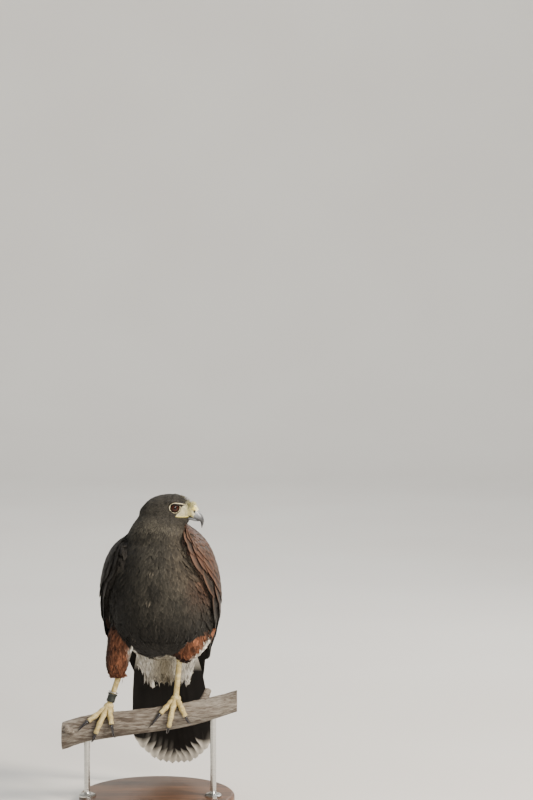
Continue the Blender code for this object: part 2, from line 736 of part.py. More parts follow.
def undertail_vanes():
    made = []
    for tier, ((first, last), places, half) in enumerate(UNDERTAIL_TIERS):
        for k, middle in enumerate(places):
            level = (2.1 if k % 2 else 3.3) if tier == 0 else 0.0
            made.append(undertail_vane(first, last - abs(middle) * 0.4, middle, half, level))
    return made


undertail = keep_largest(combine(undertail_core(), [swollen(torso)], "DIFFERENCE"))
keep_largest(combine(undertail, undertail_vanes(), "UNION", "MANIFOLD"))


# Legs, feet and claws
def thigh_solid(word):
    rows = THIGHS[word]
    rings = []
    for t in np.linspace(0, THIGH_END, 12):
        rings.append([limb_place(rows, t, a, 0.0) for a in np.linspace(0, 2 * math.pi, 18, endpoint=False)])
    return skin("thigh_" + word, *loft(rings), RUFOUS)


def toe_radius(s, length):
    u = s / length
    return (5.1 - 1.2 * u + 0.35 * math.cos(6 * math.pi * u)) * (0.85 if u > 0.97 else 1.0)


def toe_point(word, heading, length, claw, s):
    # Point along a toe or, past its length, along its claw
    turn = math.radians(heading)
    foot = FOOT_AT[word]
    x = foot[0] - s * math.sin(turn)
    if s <= length:
        off = 3.7 + (foot[2] - perch_point(foot[0], 0, 0)[2] - 4) * math.exp(-(s / 9.0) ** 2)
    else:
        u = (s - length) / claw
        off = 3.7 + 0.2 * min(1, 8 * u) + 2.6 * math.sin(math.pi * u) - 3.0 * u
    return perch_point(x, s * math.cos(turn) / (perch_radius(x, 0) + 4.0), off)


def foot_solid(word, at, up):
    foot = ball("foot_" + word, Matrix.Translation(at), (8.2, 8.2, 6.5), YELLOW, 12, 8)
    pieces = [tube("stub", [at, at + up * 5, at + up * STUB_LENGTH], [5.4, 4.7, 4.4], YELLOW)]
    for number, length, claw, heading in TOES[word]:
        places = np.linspace(0, length, 7)
        path = [toe_point(word, heading, length, claw, s) for s in places]
        pieces.append(tube("toe", path, [toe_radius(s, length) for s in places], YELLOW))
    combine(foot, pieces, "UNION")
    return keep_largest(combine(foot, [perch_solid("clearance", GAP, cutters)], "DIFFERENCE"))


for word, side in (("right", -1), ("left", 1)):
    thigh = keep_largest(combine(thigh_solid(word), [swollen(torso), wing_cores[word]], "DIFFERENCE"))
    at = np.array(FOOT_AT[word])
    knee = smooth(THIGHS[word], THIGH_END)[:3]
    up = unit(knee - at)
    places = np.linspace(STUB_LENGTH + GAP, np.linalg.norm(knee - at) + 1, 5)
    radii = [LEG_RADIUS, LEG_RADIUS - 0.3, LEG_RADIUS - 0.2, LEG_RADIUS, LEG_RADIUS + 0.3]
    tarsus = tube("tarsus_" + word, [at + up * s for s in places], radii, YELLOW, 3)
    keep_largest(combine(tarsus, [swollen(thigh)], "DIFFERENCE"))
    foot = foot_solid(word, at, up)
    for number, toe, claw, heading in TOES[word]:
        places = np.linspace(toe - 0.5, toe + claw, 7)
        radii = [3.1 * (1 - u) ** 0.8 + 0.35 for u in np.linspace(0, 1, 7)]
        path = [toe_point(word, heading, toe, claw, s) for s in places]
        horn = tube(f"claw_{word}_{number}", path, radii, CLAW)
        keep_largest(combine(horn, [swollen(foot)], "DIFFERENCE"))

# Anklet on the right leg: a leather cuff with a raised rim, and a loose ring over it
at = np.array(FOOT_AT["right"])
up = unit(smooth(THIGHS["right"], THIGH_END)[:3] - at)
cuff = [(5.2, 20.0), (7.3, 20.0), (7.3, 18.4), (6.2, 17.8), (6.2, 7.4), (5.2, 7.4)]
turned("anklet_cuff", cuff, axes_at(at, up), 16, LEATHER)
hoop("anklet_ring", axes_at(at + up * 22.2, up), 6.4, 0.9, 16, STEEL)

# Perch with two cut twigs, and the display stand under it
perch = perch_solid("perch_branch", 0.0, parts)
twigs = []
for start, end, radius in (((58, 6, 2), (70, 30, 26), 5.5), ((-128, -6, -34), (-142, -30, -20), 5.0)):
    path = [np.array(start) + (np.array(end) - np.array(start)) * t for t in (0, 0.5, 1)]
    twigs.append(tube("twig", path, [radius * 1.25, radius, radius * 0.92], BARK))
combine(perch, twigs, "UNION")
floor = BASE_HEIGHT - BIRD_AT[2]
sockets = []
for word, x in ROD_PLACES:
    top = perch_point(x, math.pi, 0.0)[2] + SOCKET_DEPTH
    hole = bmesh.new()
    bmesh.ops.create_cone(hole, cap_ends=True, segments=18, depth=60,
                          radius1=ROD_RADIUS + GAP, radius2=ROD_RADIUS + GAP)
    sockets.append(finish("socket", hole, BARK, Matrix.Translation((x, 0, top + GAP - 30)), cutters))
    profile = [(0, top), (ROD_RADIUS - 0.6, top), (ROD_RADIUS, top - 0.6), (ROD_RADIUS, floor + 8),
               (ROD_RADIUS + 1.2, floor + 5), (11, floor + 4), (13, floor + 2.5), (13, floor + GAP),
               (0, floor + GAP)]
    turned("stand_rod_" + word, profile, Matrix.Translation((x, 0, 0)), 12, STEEL)
keep_largest(combine(perch, sockets, "DIFFERENCE"))
edge = [(0, BASE_HEIGHT), (BASE_RADIUS - 4, BASE_HEIGHT), (BASE_RADIUS - 1.2, BASE_HEIGHT - 1.2),
        (BASE_RADIUS, BASE_HEIGHT - 4), (BASE_RADIUS, 1.5), (BASE_RADIUS - 1.5, 0), (0, 0)]
turned("stand_base", edge, Matrix.Identity(4), 36, WOOD, parent=None)
for item in list(cutters.objects):
    bpy.data.objects.remove(item, do_unlink=True)
for item in parts.objects:
    if item.type == "MESH":
        item.data.shade_smooth()
        item.data.set_sharp_from_angle(angle=math.radians(35))
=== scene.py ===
# Harris hawk at life size, gripping a cut branch on a turned display stand.
# Lengths in the dictionaries are millimetres. Bird space has its origin under the body at
# foot level; the bird faces -Y and its own left side is +X.
import itertools
import math

import bmesh
import bpy
import numpy as np
from mathutils import Matrix, Vector, noise
from mathutils.bvhtree import BVHTree


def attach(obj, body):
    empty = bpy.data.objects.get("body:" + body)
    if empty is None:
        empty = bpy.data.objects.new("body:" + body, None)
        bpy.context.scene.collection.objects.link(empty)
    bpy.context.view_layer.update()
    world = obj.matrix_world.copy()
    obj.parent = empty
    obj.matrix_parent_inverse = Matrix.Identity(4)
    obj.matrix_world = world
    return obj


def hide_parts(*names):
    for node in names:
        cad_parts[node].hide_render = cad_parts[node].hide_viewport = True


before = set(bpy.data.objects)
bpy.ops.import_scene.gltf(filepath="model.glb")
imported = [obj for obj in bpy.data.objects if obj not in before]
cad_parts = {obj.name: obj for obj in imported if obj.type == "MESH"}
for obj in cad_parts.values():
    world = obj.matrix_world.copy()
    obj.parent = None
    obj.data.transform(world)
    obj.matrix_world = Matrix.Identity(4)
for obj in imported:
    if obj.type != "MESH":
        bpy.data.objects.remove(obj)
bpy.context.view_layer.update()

mm = 0.001
birdAt = np.array([8.0, -22.0, 148.0])
rng = np.random.default_rng(7)


# Small helpers shared by every piece
def linear(hexColour):
    parts = [int(hexColour[i:i + 2], 16) / 255 for i in (0, 2, 4)]
    return np.array([c / 12.92 if c <= 0.04045 else ((c + 0.055) / 1.055) ** 2.4 for c in parts])


def unit(v):
    v = np.asarray(v, dtype=float)
    return v / np.maximum(np.linalg.norm(v, axis=-1, keepdims=True), 1e-9)


def ease(value, low, high):
    u = np.clip((np.asarray(value, dtype=float) - low) / (high - low), 0, 1)
    return u * u * (3 - 2 * u)


def blend(a, b, u):
    return a + (b - a) * u


def together(*values):
    return np.broadcast_arrays(*(np.asarray(value, float) for value in values))


def columnsOf(*values):
    return np.stack(together(*values), axis=-1)


def readTable(table, at):
    # smooth curve through the rows, read at any places
    rows = np.array(sorted(table), dtype=float)
    places, values = rows[:, 0], rows[:, 1:]
    slopes = np.gradient(values, places, axis=0)
    at = np.clip(np.asarray(at, dtype=float), places[0], places[-1])
    i = np.clip(np.searchsorted(places, at) - 1, 0, len(places) - 2)
    step = (places[i + 1] - places[i])[..., None]
    u = (at - places[i])[..., None] / step
    first = (2 * u ** 3 - 3 * u ** 2 + 1) * values[i] + (u ** 3 - 2 * u ** 2 + u) * step * slopes[i]
    second = (3 * u ** 2 - 2 * u ** 3) * values[i + 1] + (u ** 3 - u ** 2) * step * slopes[i + 1]
    return first + second


def toWorld(points):
    return (np.asarray(points, dtype=float) + birdAt) * mm


def addObject(name, mesh, material, nodes=(), slotName=None):
    piece = bpy.data.objects.new(name, mesh)
    bpy.context.scene.collection.objects.link(piece)
    mesh.materials.clear()
    mesh.materials.append(material)
    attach(piece, "root")
    if nodes:
        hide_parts(*nodes)
    return piece


def meshFrom(build, name):
    bmesh.ops.recalc_face_normals(build, faces=build.faces)
    mesh = bpy.data.meshes.new(name)
    build.to_mesh(mesh)
    build.free()
    mesh.shade_smooth()
    return mesh


def addShape(name, build, material, nodes=(), slotName=None):
    # the finished bmesh becomes a smooth object
    return addObject(name, meshFrom(build, name), material, nodes, slotName)


def birdSpots(mesh):
    # vertex places of a mesh in bird space
    spots = np.empty(len(mesh.vertices) * 3)
    mesh.vertices.foreach_get("co", spots)
    return spots.reshape(-1, 3) / mm - birdAt


def axesMatrix(first, second, third):
    return Matrix([[*row, 0] for row in np.array([first, second, third]).T] + [[0, 0, 0, 1]])


def turnsOf(count):
    # evenly spaced angles round a full circle
    return np.linspace(0, 2 * math.pi, count, endpoint=False)


def ringRound(place, across, over, turns, radius, height=None):
    # one ring of a tube in world space; the radius may change round the ring
    height = radius if height is None else height
    sideways, upward = (np.cos(turns) * radius)[:, None], (np.sin(turns) * height)[:, None]
    return toWorld(place + across * sideways + over * upward)


def framesAlong(path, upHint):
    tangents = unit(np.gradient(path, axis=0))
    sides = unit(np.cross(tangents, upHint))
    return sides, np.cross(sides, tangents)


def lengthAlong(points):
    return np.concatenate([[0], np.cumsum(np.linalg.norm(np.diff(points, axis=0), axis=1))])


def tubeThrough(build, rings, capEnds=True):
    # a circle is carried through the rings by extruding, and its ends are closed
    count = len(rings[0])
    made = bmesh.ops.create_circle(build, segments=count, radius=1.0)
    verts = made["verts"]
    for vert, place in zip(verts, rings[0]):
        vert.co = place
    loop = list(verts)
    if capEnds:
        bmesh.ops.contextual_create(build, geom=loop)
    edges = [build.edges.get((loop[i], loop[(i + 1) % count])) for i in range(count)]
    for ring in rings[1:]:
        grown = bmesh.ops.extrude_edge_only(build, edges=edges)["geom"]
        fresh = {}
        newVerts = [g for g in grown if isinstance(g, bmesh.types.BMVert)]
        for old in loop:
            for edge in old.link_edges:
                other = edge.other_vert(old)
                if other in newVerts:
                    fresh[old] = other
        loop = [fresh[old] for old in loop]
        for vert, place in zip(loop, ring):
            vert.co = place
        edges = [build.edges.get((loop[i], loop[(i + 1) % count])) for i in range(count)]
    if capEnds:
        bmesh.ops.contextual_create(build, geom=loop)


# Materials
def newMaterial(name):
    made = bpy.data.materials.new(name)
    made.use_nodes = True
    tree = made.node_tree
    tree.nodes.clear()
    return made, tree


def addNode(tree, kind, inputs=None, **settings):
    node = tree.nodes.new(kind)
    for key, value in settings.items():
        setattr(node, key, value)
    for key, value in (inputs or {}).items():
        if isinstance(value, bpy.types.NodeSocket):
            tree.links.new(value, node.inputs[key])
        else:
            node.inputs[key].default_value = value
    return node


def rgba(hexColour):
    return (*linear(hexColour), 1)


def ramp(tree, factor, stops):
    node = addNode(tree, "ShaderNodeValToRGB", {"Fac": factor})
    spots = node.color_ramp.elements
    while len(spots) < len(stops):
        spots.new(0.5)
    for spot, (place, colour) in zip(spots, stops):
        spot.position = place
        spot.color = rgba(colour)
    return node.outputs["Color"]


def objectPlace(tree):
    return addNode(tree, "ShaderNodeTexCoord").outputs["Object"]


def noiseAt(tree, place, scale, detail, roughness=0.5):
    settings = {"Vector": place, "Scale": scale, "Detail": detail, "Roughness": roughness}
    return addNode(tree, "ShaderNodeTexNoise", settings).outputs["Fac"]


def stretchedPlace(tree, place, scale):
    return addNode(tree, "ShaderNodeMapping", {"Vector": place, "Scale": scale}).outputs["Vector"]


def mathOf(tree, operation, *values):
    return addNode(tree, "ShaderNodeMath", dict(enumerate(values)), operation=operation).outputs[0]


def rangeOf(tree, value, low, high, first=0.0, last=1.0):
    # low to high becomes first to last, held at both ends
    settings = {"Value": value, "From Min": low, "From Max": high, "To Min": first, "To Max": last}
    return addNode(tree, "ShaderNodeMapRange", settings).outputs["Result"]


def mixOf(tree, share, first, second):
    settings = {"Factor": share, "A": first, "B": second}
    return addNode(tree, "ShaderNodeMix", settings, data_type="RGBA").outputs["Result"]


def scaledBy(tree, colour, factor):
    settings = {0: colour, "Scale": factor}
    return addNode(tree, "ShaderNodeVectorMath", settings, operation="SCALE").outputs["Vector"]


def finishMaterial(tree, colour, roughness, height=None, bump=0.3, distance=0.0002, **fixed):
    # surface shader with fixed values on its own sockets and an optional bump
    shader = addNode(tree, "ShaderNodeBsdfPrincipled", {"Base Color": colour, "Roughness": roughness})
    for key, value in fixed.items():
        shader.inputs[key.replace("_", " ")].default_value = value
    if height is not None:
        relief = addNode(tree, "ShaderNodeBump", {"Strength": bump, "Distance": distance, "Height": height})
        tree.links.new(relief.outputs["Normal"], shader.inputs["Normal"])
    addNode(tree, "ShaderNodeOutputMaterial", {"Surface": shader.outputs["BSDF"]})
    return shader


def plumageMaterial(name, roughness, barbScale, barbDepth):
    # keratin feather vane: matt, with fine slanting barbs either side of the shaft and a soft grain
    made, tree = newMaterial(name)
    tint = addNode(tree, "ShaderNodeAttribute", attribute_name="tint").outputs["Color"]
    place = addNode(tree, "ShaderNodeUVMap", uv_map="vane").outputs["UV"]
    parts = addNode(tree, "ShaderNodeSeparateXYZ", {"Vector": place})
    side = mathOf(tree, "SUBTRACT", parts.outputs["X"], 0.5)
    across = mathOf(tree, "ABSOLUTE", side)
    slant = mathOf(tree, "MULTIPLY_ADD", across, -0.8, parts.outputs["Y"])
    line = addNode(tree, "ShaderNodeCombineXYZ", {"X": across, "Y": slant}).outputs["Vector"]
    stretched = stretchedPlace(tree, line, (4.0, barbScale, 1.0))
    barbs = noiseAt(tree, stretched, 1.0, 3.0, 0.65)
    body = objectPlace(tree)
    grain = noiseAt(tree, body, 900.0, 2.0)
    light = rangeOf(tree, barbs, 0.3, 0.7, 1 - barbDepth, 1 + barbDepth)
    speck = rangeOf(tree, grain, 0.3, 0.7, 0.88, 1.12)
    both = mathOf(tree, "MULTIPLY", light, speck)
    colour = scaledBy(tree, tint, both)
    finishMaterial(tree, colour, roughness, barbs, 0.5, 0.0003, Specular_IOR_Level=0.22, Sheen_Weight=0.06,
                   Sheen_Roughness=0.5)
    return made


coatMaterial = plumageMaterial("plumageContour", 0.78, 95.0, 0.22)
flightMaterial = plumageMaterial("plumageFlight", 0.6, 110.0, 0.16)


# The shared form of trunk, wings and tail
form = {
    "chestTurn": -7.0, "leftShoulderRaise": 19.0,
    "trunk": [(285, -6, 24, 28, 36, 2), (268, -6, 34, 36, 45, 2), (255, -6, 46, 42, 54, 2),
              (240, -6, 55, 48, 62, 2), (220, -5, 64, 54, 69, 2), (195, -3, 71, 59, 74, 2),
              (170, 0, 75, 62, 76, 2), (145, 4, 75, 63, 75, 2), (120, 10, 72, 62, 71, 2),
              (100, 20, 66, 60, 67, 2.1), (80, 36, 58, 50, 62, 2.4), (50, 68, 48, 26, 57, 2.8),
              (20, 84, 40, 18, 53, 3), (-10, 97, 36, 16, 48, 3), (-40, 109, 30, 16, 42, 3)],
    "wingEdges": [(262, 75, 108), (255, 60, 120), (240, 48, 140), (225, 45, 154), (200, 55, 166),
                  (170, 72, 170), (140, 82, 172), (108, 92, 173), (80, 105, 174), (50, 117, 174),
                  (20, 138, 174), (-20, 155, 174)],
    "wingDepth": [(262, 4), (250, 10), (235, 14), (210, 16), (180, 16), (150, 14), (125, 11), (100, 7.5),
                  (-20, 4)],
    "droop": [(262, 0), (180, 0), (145, 3), (120, 7), (100, 11), (80, 13), (50, 10), (20, 6), (-20, 3)],
}


def turnBody(points):
    a = math.radians(form["chestTurn"])
    x, y, z = points[..., 0], points[..., 1], points[..., 2]
    return np.stack([x * math.cos(a) - y * math.sin(a), x * math.sin(a) + y * math.cos(a), z], axis=-1)


def trunkPoint(z, turn):
    centre, front, back, half, power = np.moveaxis(readTable(form["trunk"], z), -1, 0)
    s, c = np.sin(turn), np.cos(turn)
    reach = np.where(c > 0, front, back)
    x = np.sign(s) * half * np.abs(s) ** (2 / power)
    y = centre - np.sign(c) * reach * np.abs(c) ** (2 / power)
    return np.stack([x, y, z + 0 * x], axis=-1)


def trunkNormal(z, turn):
    along = trunkPoint(z + 0.5, turn) - trunkPoint(z - 0.5, turn)
    around = trunkPoint(z, turn + 0.01) - trunkPoint(z, turn - 0.01)
    return unit(np.cross(around, along))


def wingPoint(side, z, angle, off):
    # point of a folded wing: side is 1 for the bird's left wing, -1 for its right
    z, angle, off = together(z, angle, off)
    raised = z + (form["leftShoulderRaise"] * ease(z, 110, 225) if side > 0 else 0.0)
    turn = np.radians(angle)
    points = trunkPoint(raised, turn) + trunkNormal(raised, turn) * off[..., None]
    if side < 0:
        points[..., 0] += readTable(form["droop"], z)[..., 0] * (1 - 0.6 * ease(angle, 100, 170))
    points[..., 0] *= side
    return turnBody(points)


def wingDepth(z, angle):
    lead, trail = np.moveaxis(readTable(form["wingEdges"], z), -1, 0)
    s = np.clip((angle - lead) / (trail - lead), 0, 1)
    edge = np.minimum(1.0, 0.55 + 3 * s) * np.where(s < 0.7, 1.0, 1 - 1.7 * (s - 0.7))
    return readTable(form["wingDepth"], z)[..., 0] * edge


tailForm = {"root": (-3.0, 60.0, 104.0), "back": (0.0, 0.375, -0.927), "upper": (0.0, 0.927, 0.375),
            "coverts": [(-12, 44, 24), (8, 50, 25), (26, 51, 22), (44, 47, 15), (62, 41, 8), (80, 33, 3)]}


def tailPoint(across, along, height):
    across, along, height = together(across, along, height)
    points = np.array(tailForm["root"]) + along[..., None] * unit(tailForm["back"])
    points = points + height[..., None] * unit(tailForm["upper"])
    points[..., 0] += across
    return turnBody(points)


headForm = {"at": (9.0, -8.0, 301.5), "turn": 78.0, "pitch": 2.0, "eye": (15.5, 16.0, 8.0), "eyeRadius": 9.2}
headTurn = math.radians(headForm["turn"])
forwardAxis = unit((math.sin(headTurn), -math.cos(headTurn), math.tan(math.radians(headForm["pitch"]))))
leftAxis = np.array((math.cos(headTurn), math.sin(headTurn), 0.0))
upAxis = np.cross(forwardAxis, leftAxis)


def headPoint(forward, left, up):
    forward, left, up = together(forward, left, up)
    return (np.array(headForm["at"]) + forward[..., None] * forwardAxis + left[..., None] * leftAxis
            + up[..., None] * upAxis)


def intoHead(points):
    away = points - np.array(headForm["at"])
    return np.stack([away @ forwardAxis, away @ leftAxis, away @ upAxis], axis=-1)


def eyeFrame(side):
    forward, left, up = headForm["eye"]
    out = unit(forwardAxis * 0.5 + leftAxis * 0.86 * side + upAxis * 0.03)
    return headPoint(forward, left * side, up), out


# Skin under the feathers
skinPlan = {"voxel": 1.7, "smoothing": 5, "depth": 1.3}


def wingSolid(build, side):
    # soft bulk of the folded wing, from a grid laid on the flank and thickened
    made = bmesh.ops.create_grid(build, x_segments=26, y_segments=40, size=0.5)["verts"]
    for vert in made:
        z = blend(102.0, 260.0, vert.co.y + 0.5)
        lead, trail = readTable(form["wingEdges"], z)
        angle = blend(lead + 1, trail - 1, vert.co.x + 0.5)
        vert.co = toWorld(wingPoint(side, z, angle, wingDepth(z, angle) * 0.9 - 1.0))
    faces = list({face for vert in made for face in vert.link_faces})
    bmesh.ops.recalc_face_normals(build, faces=faces)
    middle = Vector(toWorld((0, 0, 180)))
    outward = sum((face.calc_center_median() - middle).dot(face.normal) for face in faces)
    if outward < 0:
        bmesh.ops.reverse_faces(build, faces=faces)
    bmesh.ops.solidify(build, geom=faces, thickness=9 * mm)


def tailRoot(build):
    rings = []
    for along in np.linspace(-12, 78, 14):
        half, depth = readTable(tailForm["coverts"], along)
        turns = turnsOf(32)
        c, s = np.cos(turns), np.sin(turns)
        under = -3.0 - depth * 0.88 * np.abs(s) - 0.5
        over = 4.5 * ease(80 - along, 0, 50) * np.abs(s) - 2.5
        height = np.where(s > 0, under, over)
        rings.append(toWorld(tailPoint(half * 0.94 * c, along, height)))
    tubeThrough(build, rings)


def remeshed(build, name, voxel):
    raw = bpy.data.meshes.new(name + "Raw")
    bmesh.ops.recalc_face_normals(build, faces=build.faces)
    build.to_mesh(raw)
    build.free()
    holder = bpy.data.objects.new(name + "Raw", raw)
    bpy.context.scene.collection.objects.link(holder)
    shrink = holder.modifiers.new("remesh", "REMESH")
    shrink.mode = "VOXEL"
    shrink.voxel_size = voxel * mm
    bpy.context.view_layer.update()
    fine = bpy.data.meshes.new_from_object(holder.evaluated_get(bpy.context.evaluated_depsgraph_get()))
    bpy.data.objects.remove(holder, do_unlink=True)
    bpy.data.meshes.remove(raw)
    return fine


def makeSkin():
    build = bmesh.new()
    for name in ("head", "neck", "torso", "thigh_left", "thigh_right"):
        build.from_mesh(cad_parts[name].data)
    bmesh.ops.remove_doubles(build, verts=build.verts, dist=1e-6)
    wingSolid(build, 1)
    wingSolid(build, -1)
    tailRoot(build)
    fine = remeshed(build, "plumageSkin", skinPlan["voxel"])
    build = bmesh.new()
    build.from_mesh(fine)
    for _ in range(skinPlan["smoothing"]):
        bmesh.ops.smooth_vert(build, verts=build.verts, factor=0.5, use_axis_x=True, use_axis_y=True,
                              use_axis_z=True)
    build.normal_update()
    for vert in build.verts:
        bird = np.array(vert.co) / mm - birdAt
        forward = intoHead(bird)[0]
        shallow = 0.35 if forward > 12 and bird[2] > 285 else 1.0
        vert.co -= vert.normal * skinPlan["depth"] * shallow * mm
    build.to_mesh(fine)
    build.free()
    return fine


skinMesh = makeSkin()
print("skin made,", len(skinMesh.polygons), "faces")
skinBuild = bmesh.new()
skinBuild.from_mesh(skinMesh)
bmesh.ops.triangulate(skinBuild, faces=skinBuild.faces)
skinTree = BVHTree.FromBMesh(skinBuild)
skinFaces = [(f.calc_area(), [np.array(v.co) / mm - birdAt for v in f.verts], np.array(f.normal))
             for f in skinBuild.faces]
skinBuild.free()


# Markings, the same for skin and coat
markings = {
    "body": "34322c", "bodyDarkAndShade": "11100e", "breastPaintedLight": "474137", "head": "36342f", "throat": "4b4840",
    "rufous": "83543c", "rufousDark": "36231b", "wing": "1b1916", "white": "f3efe3", "whitePaintedShade": "98907a",
    "black": "151413", "face": "c6c3a3", "gape": "dfd47a", "jawShade": "46422b", "fleck": "8d8576",
    # edges of the white vent and of the left thigh's rufous band: place across, height
    "vent": [(-60, 100), (-47, 97), (-32, 84), (-14.5, 72), (0, 83), (18, 88), (24, 89), (36, 79), (47, 83),
             (57, 90), (67, 106), (80, 108)],
    "thighTop": [(24, 89), (30, 98), (43, 106), (50, 111), (67, 112)],
}


def faceBare(head, soft=1.0):
    # share of bare skin on the lores and along the gape, in head coordinates
    forward, left, up = head[..., 0], np.abs(head[..., 1]), head[..., 2]
    upper = np.interp(forward, [20, 24, 27, 31, 33, 37, 39, 42], [2, 6, 9, 10.5, 12, 15.5, 17, 17])
    lower = -5.2 - 0.1 * (forward - 20)
    rear = 19.8 + 0.57 * (up + 5.0).clip(0, 7)
    return (ease(upper - up, -soft, soft) * ease(up - lower, -soft * 0.6, soft * 0.6)
            * ease(forward - rear, -soft * 0.7, soft * 0.7) * ease(left, 4, 6))


def wingPlace(p):
    # side, height and angle on the folded wings for skin points, and degrees from the leading edge
    # side 0 is off the wings
    a = -math.radians(form["chestTurn"])
    x = p[..., 0] * math.cos(a) - p[..., 1] * math.sin(a)
    y = p[..., 0] * math.sin(a) + p[..., 1] * math.cos(a)
    centre, front, back, half, power = np.moveaxis(readTable(form["trunk"], p[..., 2]), -1, 0)
    reach = np.where(y < centre, front, back)
    onSide, height, turn, edge = (np.zeros(x.shape) for _ in range(4))
    edge = edge - 99
    for side in (1, -1):
        raised = p[..., 2] - (form["leftShoulderRaise"] * ease(p[..., 2], 118, 238) if side > 0 else 0)
        angle = np.degrees(np.arctan2(side * x / half, -(y - centre) / reach))
        lead, trail = np.moveaxis(readTable(form["wingEdges"], raised), -1, 0)
        inside = ((raised > 100) & (raised < 262) & (angle > lead - 1) & (angle < trail - 3)
                  & (np.hypot(x / half, (y - centre) / reach) > 1.02))
        onSide, height = np.where(inside, side, onSide), np.where(inside, raised, height)
        turn = np.where(inside, angle, turn)
        edge = np.where((side * x > 0) & (raised > 130) & (raised < 262), angle - lead, edge)
    return onSide, height, turn, edge


def shoulderColour(side, z, angle):
    # rufous over the shoulder and forearm, giving way to blackish brown behind and below
    share = ease(z, 158, 212) * (1 - 0.8 * ease(angle, 120, 158))
    # painted shade: the right wing, away from the key light, keeps no rufous at its front and less behind
    share = share * np.where(side < 0, ease(angle, 92, 114) * 0.6, 1.0)
    # the rufous breaks into grey-brown patches: partly mottling, partly a painted sheen
    wave = np.sin(z * 0.21 + angle * 0.13 + 1.5 * np.sin(angle * 0.19))
    patch = 0.5 + 0.5 * wave * np.cos(angle * 0.17 + z * 0.07)
    warm = blend(linear("39342e"), linear("4f3427"), patch[..., None])
    return blend(linear(markings["wing"]), warm, share[..., None])


def plumageAt(points):
    # base colour of the plumage at points in bird space
    p = np.asarray(points, dtype=float)
    x, y, z = p[..., 0], p[..., 1], p[..., 2]
    head = intoHead(p)
    colour = np.broadcast_to(linear(markings["body"]), p.shape).copy()

    def lay(over, share):
        nonlocal colour
        colour = blend(colour, linear(markings[over]), np.asarray(share)[..., None])

    front = ease(-y, -30, 5)
    # painted light: the bird's left breast, on the side toward the key light, is made paler
    lay("breastPaintedLight", ease(x, 0, 42) * ease(z, 165, 215) * front * 0.9)
    # lower belly darker: partly its darker plumage, partly painted shade on the underside
    lay("bodyDarkAndShade", ease(-z, -180, -112) * 0.85)
    # painted shade: the bird's right side, away from the key light, is darkened below the head
    lay("bodyDarkAndShade", ease(-x, 12, 58) * ease(-z, -268, -240) * 0.8)
    # painted shade of a hollow among the feathers in the middle of the breast
    lay("bodyDarkAndShade", np.exp(-((x + 7) / 8) ** 2 - ((z - 184) / 15) ** 2) * front * 0.9)
    lay("rufousDark", ease(x, 30, 52) * np.exp(-((z - 184) / 26) ** 2) * front * 0.5)
    lay("rufous", ease(x, 52, 66) * np.exp(-((z - 200) / 30) ** 2) * front * 0.2)
    lay("throat", ease(z, 258, 282) * 0.7)
    lay("head", ease(head[..., 2] + 0.3 * head[..., 0], -20, -4))
    broad = np.sin(x * 0.31 + 1.7 * np.sin(z * 0.13 + 1)) * np.sin(z * 0.23 + 1.5 * np.sin(x * 0.17 + y * 0.11))
    mottle = broad + 0.6 * np.sin(x * 0.63 + z * 0.49 + 2 * np.sin(y * 0.3))
    colour = colour * (1 + 0.2 * mottle)[..., None]
    # thighs: rufous; the right one has painted shade along its outer edge and is darker towards its top
    inner = -48 - 0.75 * (z - 98).clip(0, 40)
    rightLeg = ease(-z, -132, -112) * ease(inner - x, -2.5, 2.5) * ease(-y, -44, -30)
    lay("rufous", rightLeg * (0.75 + 0.25 * mottle.clip(-1, 1)))
    lay("rufousDark", rightLeg * np.maximum(ease(-x, 70, 79) * 0.95, ease(z, 104, 124) * 0.8))
    places = np.array(markings["vent"])
    vent = np.interp(x, places[:, 0], places[:, 1])
    tops = np.array(markings["thighTop"])
    leftLeg = ease(x, 22, 28) * ease(74 - x, -2, 4) * ease(np.interp(x, tops[:, 0], tops[:, 1]) - z, -2.5, 2)
    leftLeg = leftLeg * ease(z - vent, -3, 2) * ease(-y, -24, -10)
    lay("rufous", leftLeg * (0.8 + 0.2 * mottle.clip(-1, 1)))
    under = ease(vent - z, -1.5, 2.5) * ease(inner - x, 4, -2)
    inLeft = ease(x, 8, 16) * ease(46 - x, 0, 6) * ease(-y, 0, 7)
    onSide, height, turn, edge = wingPlace(p)
    wing = shoulderColour(onSide, height, turn) * (1 + 0.2 * mottle)[..., None]
    colour = np.where((onSide != 0)[..., None] & (z > 104)[..., None], wing, colour)
    lay("white", under * (1 - inLeft))
    lay("rufousDark", under * inLeft)
    # painted shade: the middle of the white undertail, under the body, is greyed
    shade = np.exp(-((x - 3) / 19) ** 2) * ease(-z, -100, -88) * (1 - inLeft)
    lay("whitePaintedShade", under * shade * 0.9)
    return colour.clip(0, 1)


# Feathers as joined solid vanes
vanePlans = {
    "body": {"columns": 8,
             "outline": [(0, 0.4), (0.3, 0.88), (0.55, 1), (0.8, 0.9), (1, 0.66)],
             "round": 0.2, "fray": 0.13, "late": 0.35, "ridge": 0.1, "camber": 0.1, "thick": 0.14},
    "head": {"columns": 4,
             "outline": [(0, 0.45), (0.4, 1), (0.75, 0.9), (1, 0.5)],
             "round": 0.15, "fray": 0.26, "late": 0.3, "ridge": 0.05, "camber": 0.14, "thick": 0.1},
    "covert": {"columns": 8,
               "outline": [(0, 0.35), (0.2, 0.78), (0.45, 1), (0.7, 0.97), (0.88, 0.83), (1, 0.6)],
               "round": 0.17, "fray": 0.035, "late": 0.4, "ridge": 0.16, "camber": 0.06, "thick": 0.2},
    "flight": {"columns": [-1, -0.62, -0.1, 0, 0.1, 0.62, 1],
               "outline": [(0, 0.3), (0.1, 0.6), (0.25, 0.86), (0.45, 0.97), (0.65, 1), (0.8, 0.97),
                           (0.9, 0.88), (0.96, 0.74), (1, 0.5)],
               "round": 0.055, "fray": 0.004, "late": 0.8, "ridge": 0.4, "camber": 0.03, "thick": 0.3},
}


